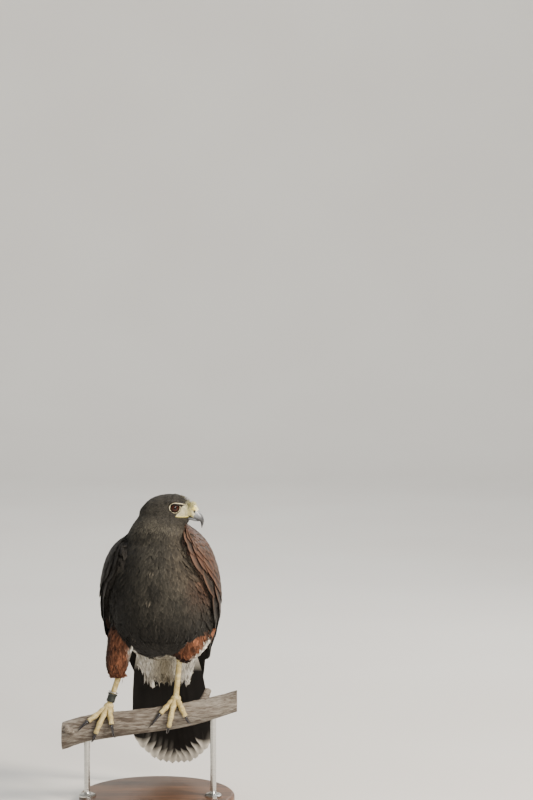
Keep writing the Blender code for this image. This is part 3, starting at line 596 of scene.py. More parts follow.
def vaneShape(plan, halves, lengths):
    # offsets of every ring point of a batch: along the feather, across it and off its surface
    stations = np.array(plan["outline"], dtype=float)
    columns = plan["columns"]
    a = np.linspace(-1, 1, columns + 1) if isinstance(columns, int) else np.array(columns, dtype=float)
    last = len(a) - 1
    order = list(range(last + 1)) + list(range(last - 1, 0, -1))
    share = a[order]
    top = np.array([1.0] * (last + 1) + [0.0] * (last - 1))
    notch = (np.arange(last + 1) + last // 2) % 2
    tear = (rng.uniform(0.35, 1.65, (len(halves), last + 1)) * notch)[:, order]
    t, wide = stations[:, 0], stations[:, 1]
    late = ease(t, plan["late"], 1)[None, :, None]
    along = t[None, :, None] * (1 - late * (plan["round"] * share ** 2 + plan["fray"] * tear[:, None, :]))
    x = halves[:, None, None] * wide[None, :, None] * share
    lift = (-plan["camber"] * halves[:, None, None] * share ** 2
            + top * plan["ridge"] * np.exp(-(share / 0.15) ** 2) * wide[None, :, None]
            - (1 - top) * plan["thick"] * wide[None, :, None])
    vane = np.stack(np.broadcast_arrays(0.5 + x / 100, along * lengths[:, None, None] / 100), axis=-1)
    local = np.stack(np.broadcast_arrays(share / 2 + 0.5, along), axis=-1)
    return {"t": t, "along": along, "x": x, "lift": lift, "share": share, "vane": vane, "local": local}


def coatPiece(name, batches, material, nodes=(), slotName=None):
    points, faces, tints, vanes, homes = [], [], [], [], []
    start = 0
    for batch in batches:
        pts = batch["points"]
        count, rows, ring = pts.shape[:3]
        c = ring // 2
        grid = np.arange(rows * ring).reshape(rows, ring)
        turned = np.roll(grid, -1, axis=1)
        quads = np.stack([grid[:-1], turned[:-1], turned[1:], grid[1:]], axis=-1).reshape(-1, 4)
        j = np.arange(1, c - 1)
        cap = np.stack([j, j + 1, 2 * c - 1 - j, 2 * c - j], axis=-1)
        quads = np.concatenate([quads, cap[:, ::-1], cap + (rows - 1) * ring])
        ends = np.array([[0, 1, 2 * c - 1], [c - 1, c, c + 1]])
        ends = np.concatenate([ends[:, ::-1], ends + (rows - 1) * ring])
        flat = pts.reshape(count, rows * ring, 3)
        corner = flat[0][quads] - flat[0].mean(axis=0)
        volume = np.einsum("ij,ij->i", corner[:, 0], np.cross(corner[:, 1], corner[:, 2])).sum()
        if volume < 0:
            quads, ends = quads[:, ::-1], ends[:, ::-1]
        base = (np.arange(count) * rows * ring + start)[:, None, None]
        faces += (quads[None] + base).reshape(-1, 4).tolist() + (ends[None] + base).reshape(-1, 3).tolist()
        points.append(flat.reshape(-1, 3))
        tints.append(np.broadcast_to(batch["tint"], pts.shape).reshape(-1, 3))
        vanes.append(np.broadcast_to(batch["vane"], (count, rows, ring, 2)).reshape(-1, 2))
        local = np.broadcast_to(batch["local"], (count, rows, ring, 2))
        homes.append((batch["home"][:, None, None, :] + 0.003 * local).reshape(-1, 2))
        start += count * rows * ring
    mesh = bpy.data.meshes.new(name)
    mesh.from_pydata(toWorld(np.concatenate(points)), [], faces)
    corners = np.empty(len(mesh.loops), dtype=np.int32)
    mesh.loops.foreach_get("vertex_index", corners)
    for layer, values in (("OFBake", np.concatenate(homes)), ("vane", np.concatenate(vanes))):
        mesh.uv_layers.new(name=layer).data.foreach_set("uv", values[corners].astype(np.float32).ravel())
    tint = mesh.color_attributes.new(name="tint", type="FLOAT_COLOR", domain="POINT")
    colours = np.concatenate(tints)
    full = np.concatenate([np.clip(colours, 0, 1), np.ones((len(colours), 1))], axis=1)
    tint.data.foreach_set("color", full.astype(np.float32).ravel())
    mesh.shade_smooth()
    mesh.set_sharp_from_angle(angle=math.radians(55))
    print(name, start, "points,", 2 * len(faces), "triangles at most")
    return addObject(name, mesh, material, nodes, slotName)


def layWingRow(side, row):
    # one row of feathers on a folded wing, shingled from the leading edge back
    count = row["count"]
    u = (np.arange(count) + row.get("stagger", 0.0)) / max(count - 1, 1)
    jitter = rng.uniform(-1, 1, (count, 4))
    loose = row.get("loose", 1.0)
    rootZ = blend(*row["rootZ"], u) + jitter[:, 0] * loose
    tipZ = blend(*row["tipZ"], u) + jitter[:, 1] * loose
    rootA = blend(*row["rootAngles"], u)
    tipA = blend(*row["tipAngles"], u) + jitter[:, 2] * 0.5 * loose
    halves = row["half"] * (1 + 0.07 * jitter[:, 3])
    middle = wingPoint(side, rootZ, rootA, 0.0) - wingPoint(side, tipZ, tipA, 0.0)
    shape = vaneShape(vanePlans[row["kind"]], halves, np.linalg.norm(middle, axis=-1))
    along = shape["along"]
    z = rootZ[:, None, None] + (tipZ - rootZ)[:, None, None] * along
    angle = rootA[:, None, None] + (tipA - rootA)[:, None, None] * along
    after, before = wingPoint(side, z, angle + 1, 5.0), wingPoint(side, z, angle - 1, 5.0)
    perDegree = np.linalg.norm(after - before, axis=-1) / 2
    x = shape["x"]
    x = np.where(x < 0, x * row.get("narrow", 1.0), x)
    turns = abs(row["tipAngles"][1] - row["tipAngles"][0]) + abs(row["rootAngles"][1] - row["rootAngles"][0])
    spacing = max(perDegree.mean() * turns / 2 / max(count - 1, 1), 1.5)
    roll = -(row.get("step", 0.6) / spacing) * x
    depth = wingDepth(z, angle)
    if "level" in row:
        level = blend(*row["level"], u)[:, None, None] + 0 * z
        level = blend(np.minimum(level, 0.5 * depth), level, ease(along, 0.0, 0.2))
    else:
        level = depth + blend(row["sink"], row["rise"], ease(along, 0.0, 0.85))
    points = wingPoint(side, z, angle + x / perDegree, level + shape["lift"] + roll)
    tint = row["tint"](side, along, shape["share"], z, angle)
    home = np.stack([0.05 + 0.85 * (rootA - 40) / 140, 0.05 + 0.85 * (rootZ + 30) / 300], axis=-1)
    return {"points": points, "tint": tint, "vane": shape["vane"], "local": shape["local"], "home": home}


def vaneTint(base, edge, shaft, edgeShare=0.75, speckle=0.12, core=0.0):
    # colour over a vane: its edges take another colour than the middle, the shaft is darker
    def tint(side, along, across, z, angle):
        a = np.abs(across)
        middle, fringe = (np.broadcast_to(linear(c) if isinstance(c, str) else c(side, z, angle), (*z.shape, 3))
                          for c in (base, edge))
        share = (ease(a, 0.35, 1.0) * edgeShare + ease(along, 0.72, 1.0) * edgeShare * 0.8).clip(0, 1)
        colour = blend(middle * (1 - core * (1 - ease(a, 0.1, 0.6)))[..., None], fringe, share[..., None])
        colour = blend(colour, linear(shaft), ((a < 0.13) * 0.65)[..., None] + 0 * colour)
        return colour * rng.uniform(1 - speckle, 1 + speckle, (len(z), 1, 1, 1))
    return tint


def edgeColour(side, z, angle):
    share = ease(z, 140, 182) * (1 - 0.6 * ease(angle, 130, 165))
    # painted shade: the right wing's feather edges keep less rufous
    if side < 0:
        share = share * ease(angle, 92, 114) * 0.7
    return blend(linear("2b2621"), linear("694c3b"), share[..., None])


rufousRow = vaneTint(shoulderColour, edgeColour, "221813", 0.6, 0.2, 0.35)
greaterRow = vaneTint(shoulderColour, edgeColour, "1c1512", 0.75, 0.14, 0.5)
flightRow = vaneTint(markings["wing"], "302a25", "0f0d0c", 0.3, 0.08)
tertialRow = vaneTint(markings["wing"], "3e3127", "0f0d0c", 0.5, 0.1)


def wingRows():
    rows = [
        {"kind": "flight", "count": 7, "rootZ": (118, 118), "tipZ": (24, -15), "rootAngles": (116, 150),
         "tipAngles": (133, 165), "half": 9.0, "narrow": 0.6, "level": (2.2, 3.4), "step": 0.7,
         "tint": flightRow},
        {"kind": "flight", "count": 9, "rootZ": (118, 120), "tipZ": (68, 42), "rootAngles": (102, 160),
         "tipAngles": (113, 167), "half": 11.0, "narrow": 0.8, "level": (6.2, 6.8), "step": 0.75,
         "tint": flightRow},
        {"kind": "flight", "count": 5, "rootZ": (128, 140), "tipZ": (90, 86), "rootAngles": (87, 100),
         "tipAngles": (94, 112), "half": 8.0, "narrow": 0.8, "sink": 0.2, "rise": 0.9, "step": 0.5,
         "tint": flightRow},
        {"kind": "flight", "count": 12, "rootZ": (146, 152), "tipZ": (108, 98), "rootAngles": (90, 166),
         "tipAngles": (97, 172), "half": 9.6, "sink": -1.5, "rise": 1.2, "step": 0.55,
         "tint": greaterRow},
    ]
    # coverts tier by tier up the wing: height of the tips, length, half width
    tiers = ((134, 38, 9.2), (152, 36, 8.8), (168, 34, 8.4), (183, 31, 7.9), (196, 28, 7.4), (207, 25, 6.8),
             (217, 22, 6.3), (226, 20, 5.8), (234, 18, 5.3), (241, 16, 4.9), (247, 15, 4.5), (253, 13, 4.1),
             (258, 11, 3.7))
    for number, (tip, length, half) in enumerate(tiers):
        lead, trail = readTable(form["wingEdges"], min(tip + length, 262))
        tipLead, tipTrail = readTable(form["wingEdges"], tip)
        arc = (tipTrail - tipLead) * 1.22
        shift = (0, 5, 2, 7)[number % 4]
        rows.append({"kind": "covert", "count": max(int(arc / (half * 1.2)), 3), "rootZ": (tip + length,) * 2,
                     "tipZ": (tip, tip - 3), "rootAngles": (lead + 6 + shift, trail),
                     "tipAngles": (tipLead + 2 + shift, tipTrail + 2),
                     "half": half, "sink": -1.4, "rise": 0.9 - 0.3 * number / 13, "step": 0.3, "loose": 3.0,
                     "stagger": 0.5 * (number % 2), "tint": rufousRow})
    for number, tip in enumerate((224, 208, 192, 176, 160, 144, 128, 113, 98)):
        rows.append({"kind": "covert", "count": 3, "rootZ": (tip + 38, tip + 38), "tipZ": (tip + 3, tip - 5),
                     "rootAngles": (146 + 3 * (number % 2), 172), "tipAngles": (150 + 3 * (number % 2), 178),
                     "half": 9.6, "sink": -0.6, "rise": 1.9, "step": 0.45, "loose": 2.4, "tint": tertialRow})
    return rows


for side, word in ((1, "left"), (-1, "right")):
    rows = [layWingRow(side, row) for row in wingRows()]
    coatPiece("wingFeathers" + word.title(), rows, flightMaterial, ("wing_" + word,), "wing_plumage")


def layOnTail(place, kind, halves, lengths, tint, home):
    shape = vaneShape(vanePlans[kind], halves, lengths)
    points = place(shape["along"], shape["x"], shape["lift"])
    return {"points": points, "tint": tint(1, shape["along"], shape["share"], points[..., 2], points[..., 0]),
            "vane": shape["vane"], "local": shape["local"], "home": home}


def makeTail():
    # twelve long feathers, black with a white base and tip
    count = 12
    k = np.arange(count) // 2
    side = np.where(np.arange(count) % 2, -1, 1)
    level = 3 - 0.95 * (k + np.where((k > 0) | (side < 0), 1, 0))
    fan = np.radians(0.75 * (k + 0.5)) * side
    root = 6.2 * (k + 0.5) * side
    length = 235 - 1.2 * k ** 2 + rng.uniform(-1, 1, count)

    def place(t, x, lift):
        x = np.where(x * side[:, None, None] < 0, x * 0.85, x)
        along = 12 + (length - 12)[:, None, None] * t
        middle = root[:, None, None] + along * np.sin(fan)[:, None, None]
        height = level[:, None, None] - 0.2 + 0.8 * lift
        return tailPoint(middle + x, along * np.cos(fan)[:, None, None], height)

    def tint(_, along, across, z, x):
        ragged = 0.012 * np.sin(across * 9 + along * 3) * (np.abs(across) > 0.2)
        white = np.maximum(ease(-along - ragged, -0.2, -0.14), ease(along + ragged, 0.898, 0.915))
        colour = blend(linear(markings["black"]), linear(markings["white"]), white[..., None])
        dark = ((np.abs(across) < 0.13) * 0.35 + 0 * along)[..., None]
        return colour * (1 - dark) * rng.uniform(0.9, 1.1, (count, 1, 1, 1))

    home = np.stack([0.5 + root / 110, np.full(count, 0.15)], axis=-1)
    batches = [layOnTail(place, "flight", np.full(count, 17.0), length, tint, home)]
    # coverts over its root: first and last place along it, how many, half width and colour
    rows = ((34, 96, 6, 9.0, "white"), (22, 78, 7, 8.8, "white"), (8, 58, 7, 8.5, "white"),
            (-6, 42, 8, 8.2, "wing"), (-18, 26, 8, 8.0, "wing"))
    for number, (first, last, wide, half, shade) in enumerate(rows):
        spots = np.linspace(-1, 1, wide) * (20 + 3.5 * number) + rng.uniform(-1, 1, wide)

        def over(t, x, lift, spots=spots, first=first, last=last, number=number, wide=wide):
            ends = last - np.abs(spots) * 0.3
            along = first + (ends - first)[:, None, None] * t
            stack = 4.4 + number * 1.1 + 0.5 * (np.arange(wide) % 2)[:, None, None]
            return tailPoint(spots[:, None, None] + x, along, stack + lift - 1.2 * (1 - t))

        home = np.stack([0.5 + spots / 110, np.full(wide, 0.5 + number * 0.08)], axis=-1)
        colour = vaneTint(markings[shade], "3d342d" if shade == "wing" else markings["white"],
                          "14110f" if shade == "wing" else "8a8070", 0.4)
        halves, lengths = np.full(wide, half), np.full(wide, float(last - first))
        batches.append(layOnTail(over, "covert", halves, lengths, colour, home))
    coatPiece("tailFeathers", batches, flightMaterial, ("tail",), "tail_plumage")


makeTail()
print("wings and tail made")


# Small feathers scattered on the skin
scatter = {"bodyTries": 90000, "headTries": 110000, "swirl": 0.2}


def regions(p, head):
    # spacing, length, half width, rise, fray and lie of the feathers at points p
    x, y, z = p[:, 0], p[:, 1], p[:, 2]
    forward, up = head[:, 0], head[:, 2]
    ahead = ease(up + 0.25 * forward, -30, -10) * ease(z, 268, 288)
    down = np.broadcast_to([0.0, 0.22, -1.0], p.shape)
    swirl = scatter["swirl"] * np.sin(x * 0.09 + z * 0.05) * np.sin(z * 0.08 + x * 0.03 + 1)
    down = down + np.stack([swirl + 0.1 * np.sign(x) * ease(np.abs(x), 20, 60), 0 * x, 0 * x], axis=-1)
    drop = 0.3 * (up < 13) + 1.2 * ease(-forward, 0, 26) + 0.5 * ease(-up, 4, 14)
    back = -forwardAxis * 0.95 - upAxis * drop[:, None]
    lie = blend(down, back, ahead[:, None])
    face = ease(forward, -4, 24)
    aroundEye = np.full(len(p), 99.0)
    for side in (1, -1):
        at, out = eyeFrame(side)
        away = p - at
        reach = away @ out
        near = np.linalg.norm(away - out * reach[:, None], axis=-1)
        aroundEye = np.where(reach > -4, np.minimum(aroundEye, near), aroundEye)
    face = np.maximum(face, ease(-aroundEye, -20, -11))
    neck = ease(z, 250, 292)
    belly = ease(-z, -180, -115)
    values = columnsOf(blend(4.5, 2.5, neck), blend(24.0, 12.5, neck) + 7 * belly, blend(4.6, 2.25, neck),
                       blend(0.9, 0.8, neck) + 0.5 * belly, blend(0.2, 0.28, neck) + 0.12 * belly)
    small = columnsOf(blend(1.9, 0.95, face), blend(9.5, 3.4, face), blend(1.45, 0.6, face),
                      blend(0.75, 0.35, face), 0.3)
    values = blend(values, small, ahead[:, None])
    rightThigh = (z < 118) & (x < -38) & (y < 28)
    leftThigh = (z < 112) & (x > 14) & (y < 12) & ((z > 80) | ((y < 4) & (np.hypot(x - 28, y + 5) < 17)))
    legs = rightThigh | leftThigh
    low = ease(-z, -112, -60)
    thigh = columnsOf(blend(3.9, 2.3, low), blend(21.0, 17.0, low), blend(3.4, 1.5, low), 1.1, 0.32)
    values = np.where(legs[:, None], thigh, values)
    ends = np.where((x < 0)[:, None], np.array([-69.0, 3.0, 22.0]), np.array([26.0, -7.0, 50.0])) - p
    narrow = blend(np.broadcast_to([0.0, 0.05, -1.0], p.shape), unit(ends), ease(-z, -110, -75)[:, None])
    lie = np.where(legs[:, None], narrow, lie)
    vent = ((y > 14) | (z < 84)) & (z < 106) & ~legs
    reach = 32 - 22 * ease(np.abs(x), 36, 56) - 6 * ease(-z, -84, -56)
    strand = columnsOf(2.6, reach, 1.6, 1.0, 0.3)
    values = np.where(vent[:, None], strand, values)
    lie = np.where(vent[:, None], np.array([0.0, 0.375, -0.927]), lie)
    # small coverts over the front of the folded wings
    onSide, height, turn, edge = wingPlace(p)
    lead = readTable(form["wingEdges"], height)[:, 0]
    # body feathers beside the wing lie loosely out over its front edge
    beside = np.exp(-((edge + 4) / 6) ** 2) * (onSide == 0) * (z > 135) * (1 - ahead)
    values = values + np.outer(beside, [-0.8, 5.0, 0.0, 3.4, 0.1])
    lie = lie + np.outer(beside * np.sign(x) * 0.45, [1.0, 0.3, 0.0])
    lower = ease(-height, -220, -130)
    covert = columnsOf(blend(2.6, 3.4, lower), blend(12.0, 20.0, lower), blend(2.6, 3.4, lower),
                       1.0 + 1.4 * ease(turn - lead, 0, 10), 0.1)
    values = np.where((onSide != 0)[:, None], covert, values)
    for side in (1, -1):
        along = wingPoint(side, height - 2, turn + 0.35, 5.0) - wingPoint(side, height, turn, 5.0)
        lie = np.where((onSide == side)[:, None], along, lie)
    hidden = (onSide != 0) & (((turn > lead + 20 + 6 * lower) & (height < 250)) | (height < 142))
    hidden |= (onSide == 0) & (z < 132) & ((np.abs(x) > 72) & ~legs & ~vent | (x > 76))
    limit = np.where(z < 106, 56, 62 - 0.8 * (y - 14).clip(0, 50))
    hidden |= (z < 150) & (y > 14) & (np.abs(x) > limit) & ~rightThigh
    return values, lie, aroundEye, hidden


def isClear(cells, cell, place, spacing):
    # no root kept so far lies nearer than the spacing; its own cell and the ones round it are searched
    for step in itertools.product((-1, 0, 1), repeat=3):
        for q in cells.get((cell[0] + step[0], cell[1] + step[1], cell[2] + step[2]), ()):
            if (place[0] - q[0]) ** 2 + (place[1] - q[1]) ** 2 + (place[2] - q[2]) ** 2 < spacing * spacing:
                return False
    return True


def scatterRoots():
    area = np.array([face[0] for face in skinFaces])
    corners = np.array([face[1] for face in skinFaces])
    normals = np.array([face[2] for face in skinFaces])
    high = np.flatnonzero(corners[:, 0, 2] > 262)
    picks = np.concatenate([rng.choice(len(area), scatter["bodyTries"], p=area / area.sum()),
                            rng.choice(high, scatter["headTries"], p=area[high] / area[high].sum())])
    mix = rng.random((len(picks), 2))
    mix = np.where(mix.sum(axis=1, keepdims=True) > 1, 1 - mix, mix)
    c = corners[picks]
    p = c[:, 0] + (c[:, 1] - c[:, 0]) * mix[:, :1] + (c[:, 2] - c[:, 0]) * mix[:, 1:]
    head = intoHead(p)
    values, lie, aroundEye, hidden = regions(p, head)
    bare = (faceBare(head) > 0.35) | (aroundEye < 9.0) | ((head[:, 0] > 33) & (np.abs(head[:, 1]) < 16)
                                                        & (head[:, 2] > -12) & (head[:, 2] < 12.5))
    fine = (p[:, 2] > 46) & ~bare & ~hidden
    kept, cells = [], {}
    spots = np.floor(p / 6.5).astype(int)
    for i in np.flatnonzero(fine):
        if isClear(cells, spots[i], p[i], values[i, 0]):
            cells.setdefault(tuple(spots[i]), []).append(tuple(p[i]))
            kept.append(i)
    return p[kept], normals[picks][kept], values[kept], lie[kept]


def spreadVane(centres, *offsets):
    # ring points from the centre line of each feather, each offset a pair of direction and distance
    points = centres[:, :, None, :]
    for way, distance in offsets:
        points = points + way[:, :, None, :] * distance[..., None]
    return points


def contourBatch(kind, places, normals, values, lies):
    plan = dict(vanePlans[kind])
    count = len(places)
    stations = [s[0] for s in plan["outline"]]
    centres, ups = np.empty((count, len(stations), 3)), np.empty((count, len(stations), 3))
    lies = lies + rng.normal(0, 0.09, (count, 3))
    lengths = values[:, 1] * rng.uniform(0.85, 1.15, count)
    for i in range(count):
        place, up, last = places[i], normals[i], 0.0
        for j, t in enumerate(stations):
            way = lies[i] - up * (lies[i] @ up)
            place = place + way * ((t - last) * lengths[i] / math.sqrt(way @ way))
            last = t
            near, n, _, _ = skinTree.find_nearest(Vector((place + birdAt) * mm))
            if np.array(n) @ up > 0.4:
                place = np.array(near) / mm - birdAt
                up = 0.6 * np.array(n) + 0.4 * up
                up = up / math.sqrt(up @ up)
            centres[i, j], ups[i, j] = place, up
    halves = values[:, 2] * rng.uniform(0.88, 1.12, count)
    rises = values[:, 3] * rng.uniform(0.6, 1.5, count)
    plan["fray"] = 1.0
    shape = vaneShape(plan, halves, lengths)
    t = shape["t"]
    rounded = ease(t, plan["late"], 1)[None, :, None] * plan["round"] * shape["share"] ** 2
    straight = t[None, :, None] * (1 - rounded)
    along = straight + (shape["along"] - straight) * values[:, 4][:, None, None]
    tangents = unit(np.gradient(centres, axis=1))
    sides = unit(np.cross(ups, tangents))
    height = -0.6 + (0.6 + rises)[:, None] * ease(t, 0.0, 0.85)[None, :]
    thin = np.clip(halves / 5, 0.35, 1)[:, None, None]
    lift = height[..., None] + shape["lift"] * thin
    slip = (along - t[None, :, None]) * lengths[:, None, None]
    points = spreadVane(centres, (tangents, slip), (sides, shape["x"]), (ups, lift))
    seen = centres[:, -2]
    base = plumageAt(seen)
    loud = 0.16 + 0.16 * ((seen[:, 2] < 118) & (np.abs(seen[:, 0]) > 14))[:, None]
    base = base * (1 + loud * rng.normal(0, 1.0, (count, 1))).clip(0.45, 1.8)
    a = np.abs(shape["share"])
    fringe = (0.5 * ease(a, 0.3, 1.0) + 0.5 * ease(along, 0.6, 1.0)).clip(0, 1)
    low, high = (0.5, 2.1) if kind == "head" else (0.5, 1.8)
    colour = blend(base[:, None, None, :] * low, base[:, None, None, :] * high, fringe[..., None])
    patch = np.exp(-((seen[:, 0] + 14) / 8) ** 2 - ((seen[:, 2] - 176) / 8) ** 2) * (seen[:, 1] < 0)
    pale = (rng.random(count) < 0.008 + 0.3 * patch)[:, None, None]
    pale = pale & (a > 0.4) & (along > 0.75) & (kind == "body")
    colour = np.where(pale[..., None], blend(colour, linear(markings["fleck"]), 0.5), colour)
    spots = centres[:, 0]
    turn = np.arctan2(spots[:, 0], -spots[:, 1] + 10) / (2 * math.pi) + 0.5
    home = np.stack([0.02 + 0.94 * turn, 0.02 + 0.94 * np.clip((spots[:, 2] - 30) / 310, 0, 1)], axis=-1)
    return {"points": points, "tint": colour, "vane": shape["vane"], "local": shape["local"], "home": home}


places, normals, values, lies = scatterRoots()
onWing = wingPlace(places)[0] != 0
small = (places[:, 2] > 268) & (values[:, 2] < 2.3) & ~onWing
groups = {
    "crownFeathers": ("head", small & (intoHead(places)[:, 2] > 4), (), "dark_plumage"),
    "neckFeathers": ("head", small, ("neck",), "dark_plumage"),
    "shoulderCoverts": ("covert", onWing, (), "wing_plumage"),
    "thighFeathers": ("body", (places[:, 2] < 118) & ((places[:, 0] < -38) | (places[:, 0] > 14))
                      & (places[:, 1] < 28), (), "rufous_plumage"),
    "ventFeathers": ("body", (places[:, 2] < 106) & (places[:, 1] > 14), ("undertail_coverts",),
                     "white_plumage"),
    "breastFeathers": ("body", places[:, 1] < 0, ("torso",), "dark_plumage"),
    "backFeathers": ("body", places[:, 2] > 0, (), "dark_plumage"),
}
taken = np.zeros(len(places), dtype=bool)
for name, (kind, mask, nodes, slotName) in groups.items():
    mask = mask & ~taken
    taken |= mask
    print(name, int(mask.sum()))
    batch = contourBatch(kind, places[mask], normals[mask], values[mask], lies[mask])
    coatPiece(name, [batch], coatMaterial, nodes, slotName)


def onHead(spot, way, off=0.0, trees=(skinTree,)):
    # where a line from a spot in head coordinates first meets a surface, moved off it, and the normal there
    start = Vector((headPoint(*spot) + birdAt) * mm)
    aim = Vector(forwardAxis * way[0] + leftAxis * way[1] + upAxis * way[2])
    hits = [tree.ray_cast(start, aim, 0.05) for tree in trees]
    hits = [hit for hit in hits if hit[0] is not None]
    if not hits:
        return None, None
    place, n, _, _ = min(hits, key=lambda hit: hit[3])
    n = np.array(n if n.dot(aim) < 0 else -n)
    return np.array(place) / mm - birdAt + off * n, n


# The skin piece itself
def skinMaterial():
    # skin and down under the feathers, and the bare waxy skin of the face with its fine pores
    made, tree = newMaterial("downySkin")
    tint = addNode(tree, "ShaderNodeAttribute", attribute_name="tint").outputs["Color"]
    body = objectPlace(tree)
    pores = noiseAt(tree, body, 1400.0, 3.0)
    light = rangeOf(tree, pores, 0.3, 0.7, 0.82, 1.12)
    colour = scaledBy(tree, tint, light)
    finishMaterial(tree, colour, 0.6, pores, 0.3, 0.0002, Specular_IOR_Level=0.22)
    return made


spots = birdSpots(skinMesh)
colours = plumageAt(spots) * 0.5
headSpots = intoHead(spots)
bare = faceBare(headSpots, 0.8) * (spots[:, 2] > 280)
gape = np.exp(-((headSpots[:, 2] + 4.6 + 0.1 * (headSpots[:, 0] - 20)) / 0.9) ** 2)
gape = gape * ease(headSpots[:, 0], 19.5, 21)
# painted shade of the bill on the yellow jaw skin below the gape: it is made dark olive
jawShade = (ease(headSpots[:, 0], 20, 23) * ease(headSpots[:, 2], -10.5, -8.5) * ease(-6 - headSpots[:, 2], 0, 1)
       * (spots[:, 2] > 280) * ease(np.abs(headSpots[:, 1]), 4, 7))
colours = blend(colours, linear(markings["jawShade"]), jawShade[:, None] * 0.8)
colours = blend(colours, linear(markings["face"]), bare[:, None])
colours = blend(colours, linear(markings["gape"]), (bare * gape)[:, None])
for side in (1, -1):
    at, out = eyeFrame(side)
    away = spots - at
    reach = away @ out
    near = np.linalg.norm(away - out * reach[:, None], axis=-1)
    socket = ease(-near, -10.2, -9.2) * (reach > 0)
    colours = blend(colours, linear("17130f"), socket[:, None] * 0.9)
tintLayer = skinMesh.color_attributes.new(name="tint", type="FLOAT_COLOR", domain="POINT")
tintLayer.data.foreach_set("color", np.concatenate([colours, np.ones((len(colours), 1))], axis=1).ravel())
skinMesh.shade_smooth()
addObject("plumageSkin", skinMesh, skinMaterial(), ("head", "thigh_left", "thigh_right"), "dark_plumage")
print("skin and small feathers made")


# Eyes and lids
eyePlan = {"lidRadius": 8.15, "lidThickness": 0.66, "lidHeight": 6.1, "segments": 64}


def eyeMaterial():
    # living eye: black pupil, dark red-brown iris with fine radial fibres, under a wet clear cornea
    made, tree = newMaterial("eyeCornea")
    place = addNode(tree, "ShaderNodeUVMap", uv_map="gaze").outputs["UV"]
    parts = addNode(tree, "ShaderNodeSeparateXYZ", {"Vector": place})
    fibres = noiseAt(tree, place, 9.0, 4.0)
    fibre = mathOf(tree, "MULTIPLY_ADD", fibres, 0.1, parts.outputs["X"])
    colour = ramp(tree, fibre, [(0.0, "030202"), (0.27, "040303"), (0.31, "1c0a06"), (0.5, "3a180c"),
                                            (0.72, "261008"), (0.8, "060404")])
    finishMaterial(tree, colour, 0.3, Specular_IOR_Level=0.1, Coat_Weight=0.5, Coat_Roughness=0.02,
                   Coat_IOR=1.376)
    return made


def lidMaterial(name, low, high):
    # thin bare skin round the eye, finely wrinkled and dry
    made, tree = newMaterial(name)
    body = objectPlace(tree)
    folds = noiseAt(tree, body, 1500.0, 3.0)
    finishMaterial(tree, ramp(tree, folds, [(0.3, low), (0.6, high)]), 0.6, folds, 0.5, 0.0003,
                   Specular_IOR_Level=0.25)
    return made


def tubeAlong(build, path, radii, sides=12, flatten=1.0, upHint=(0, 0, 1)):
    # tube along a path in bird space, with its own radius at each point
    path = np.asarray(path, dtype=float)
    across, over = framesAlong(path, upHint)
    rings = [ringRound(p, a, o, turnsOf(sides), r, r * flatten)
             for p, a, o, r in zip(path, across, over, radii)]
    tubeThrough(build, rings)


def curveThrough(points, count):
    points = np.array(points, dtype=float)
    steps = lengthAlong(points)
    table = [(s, *p) for s, p in zip(steps, points)]
    return readTable(table, np.linspace(0, steps[-1], count))


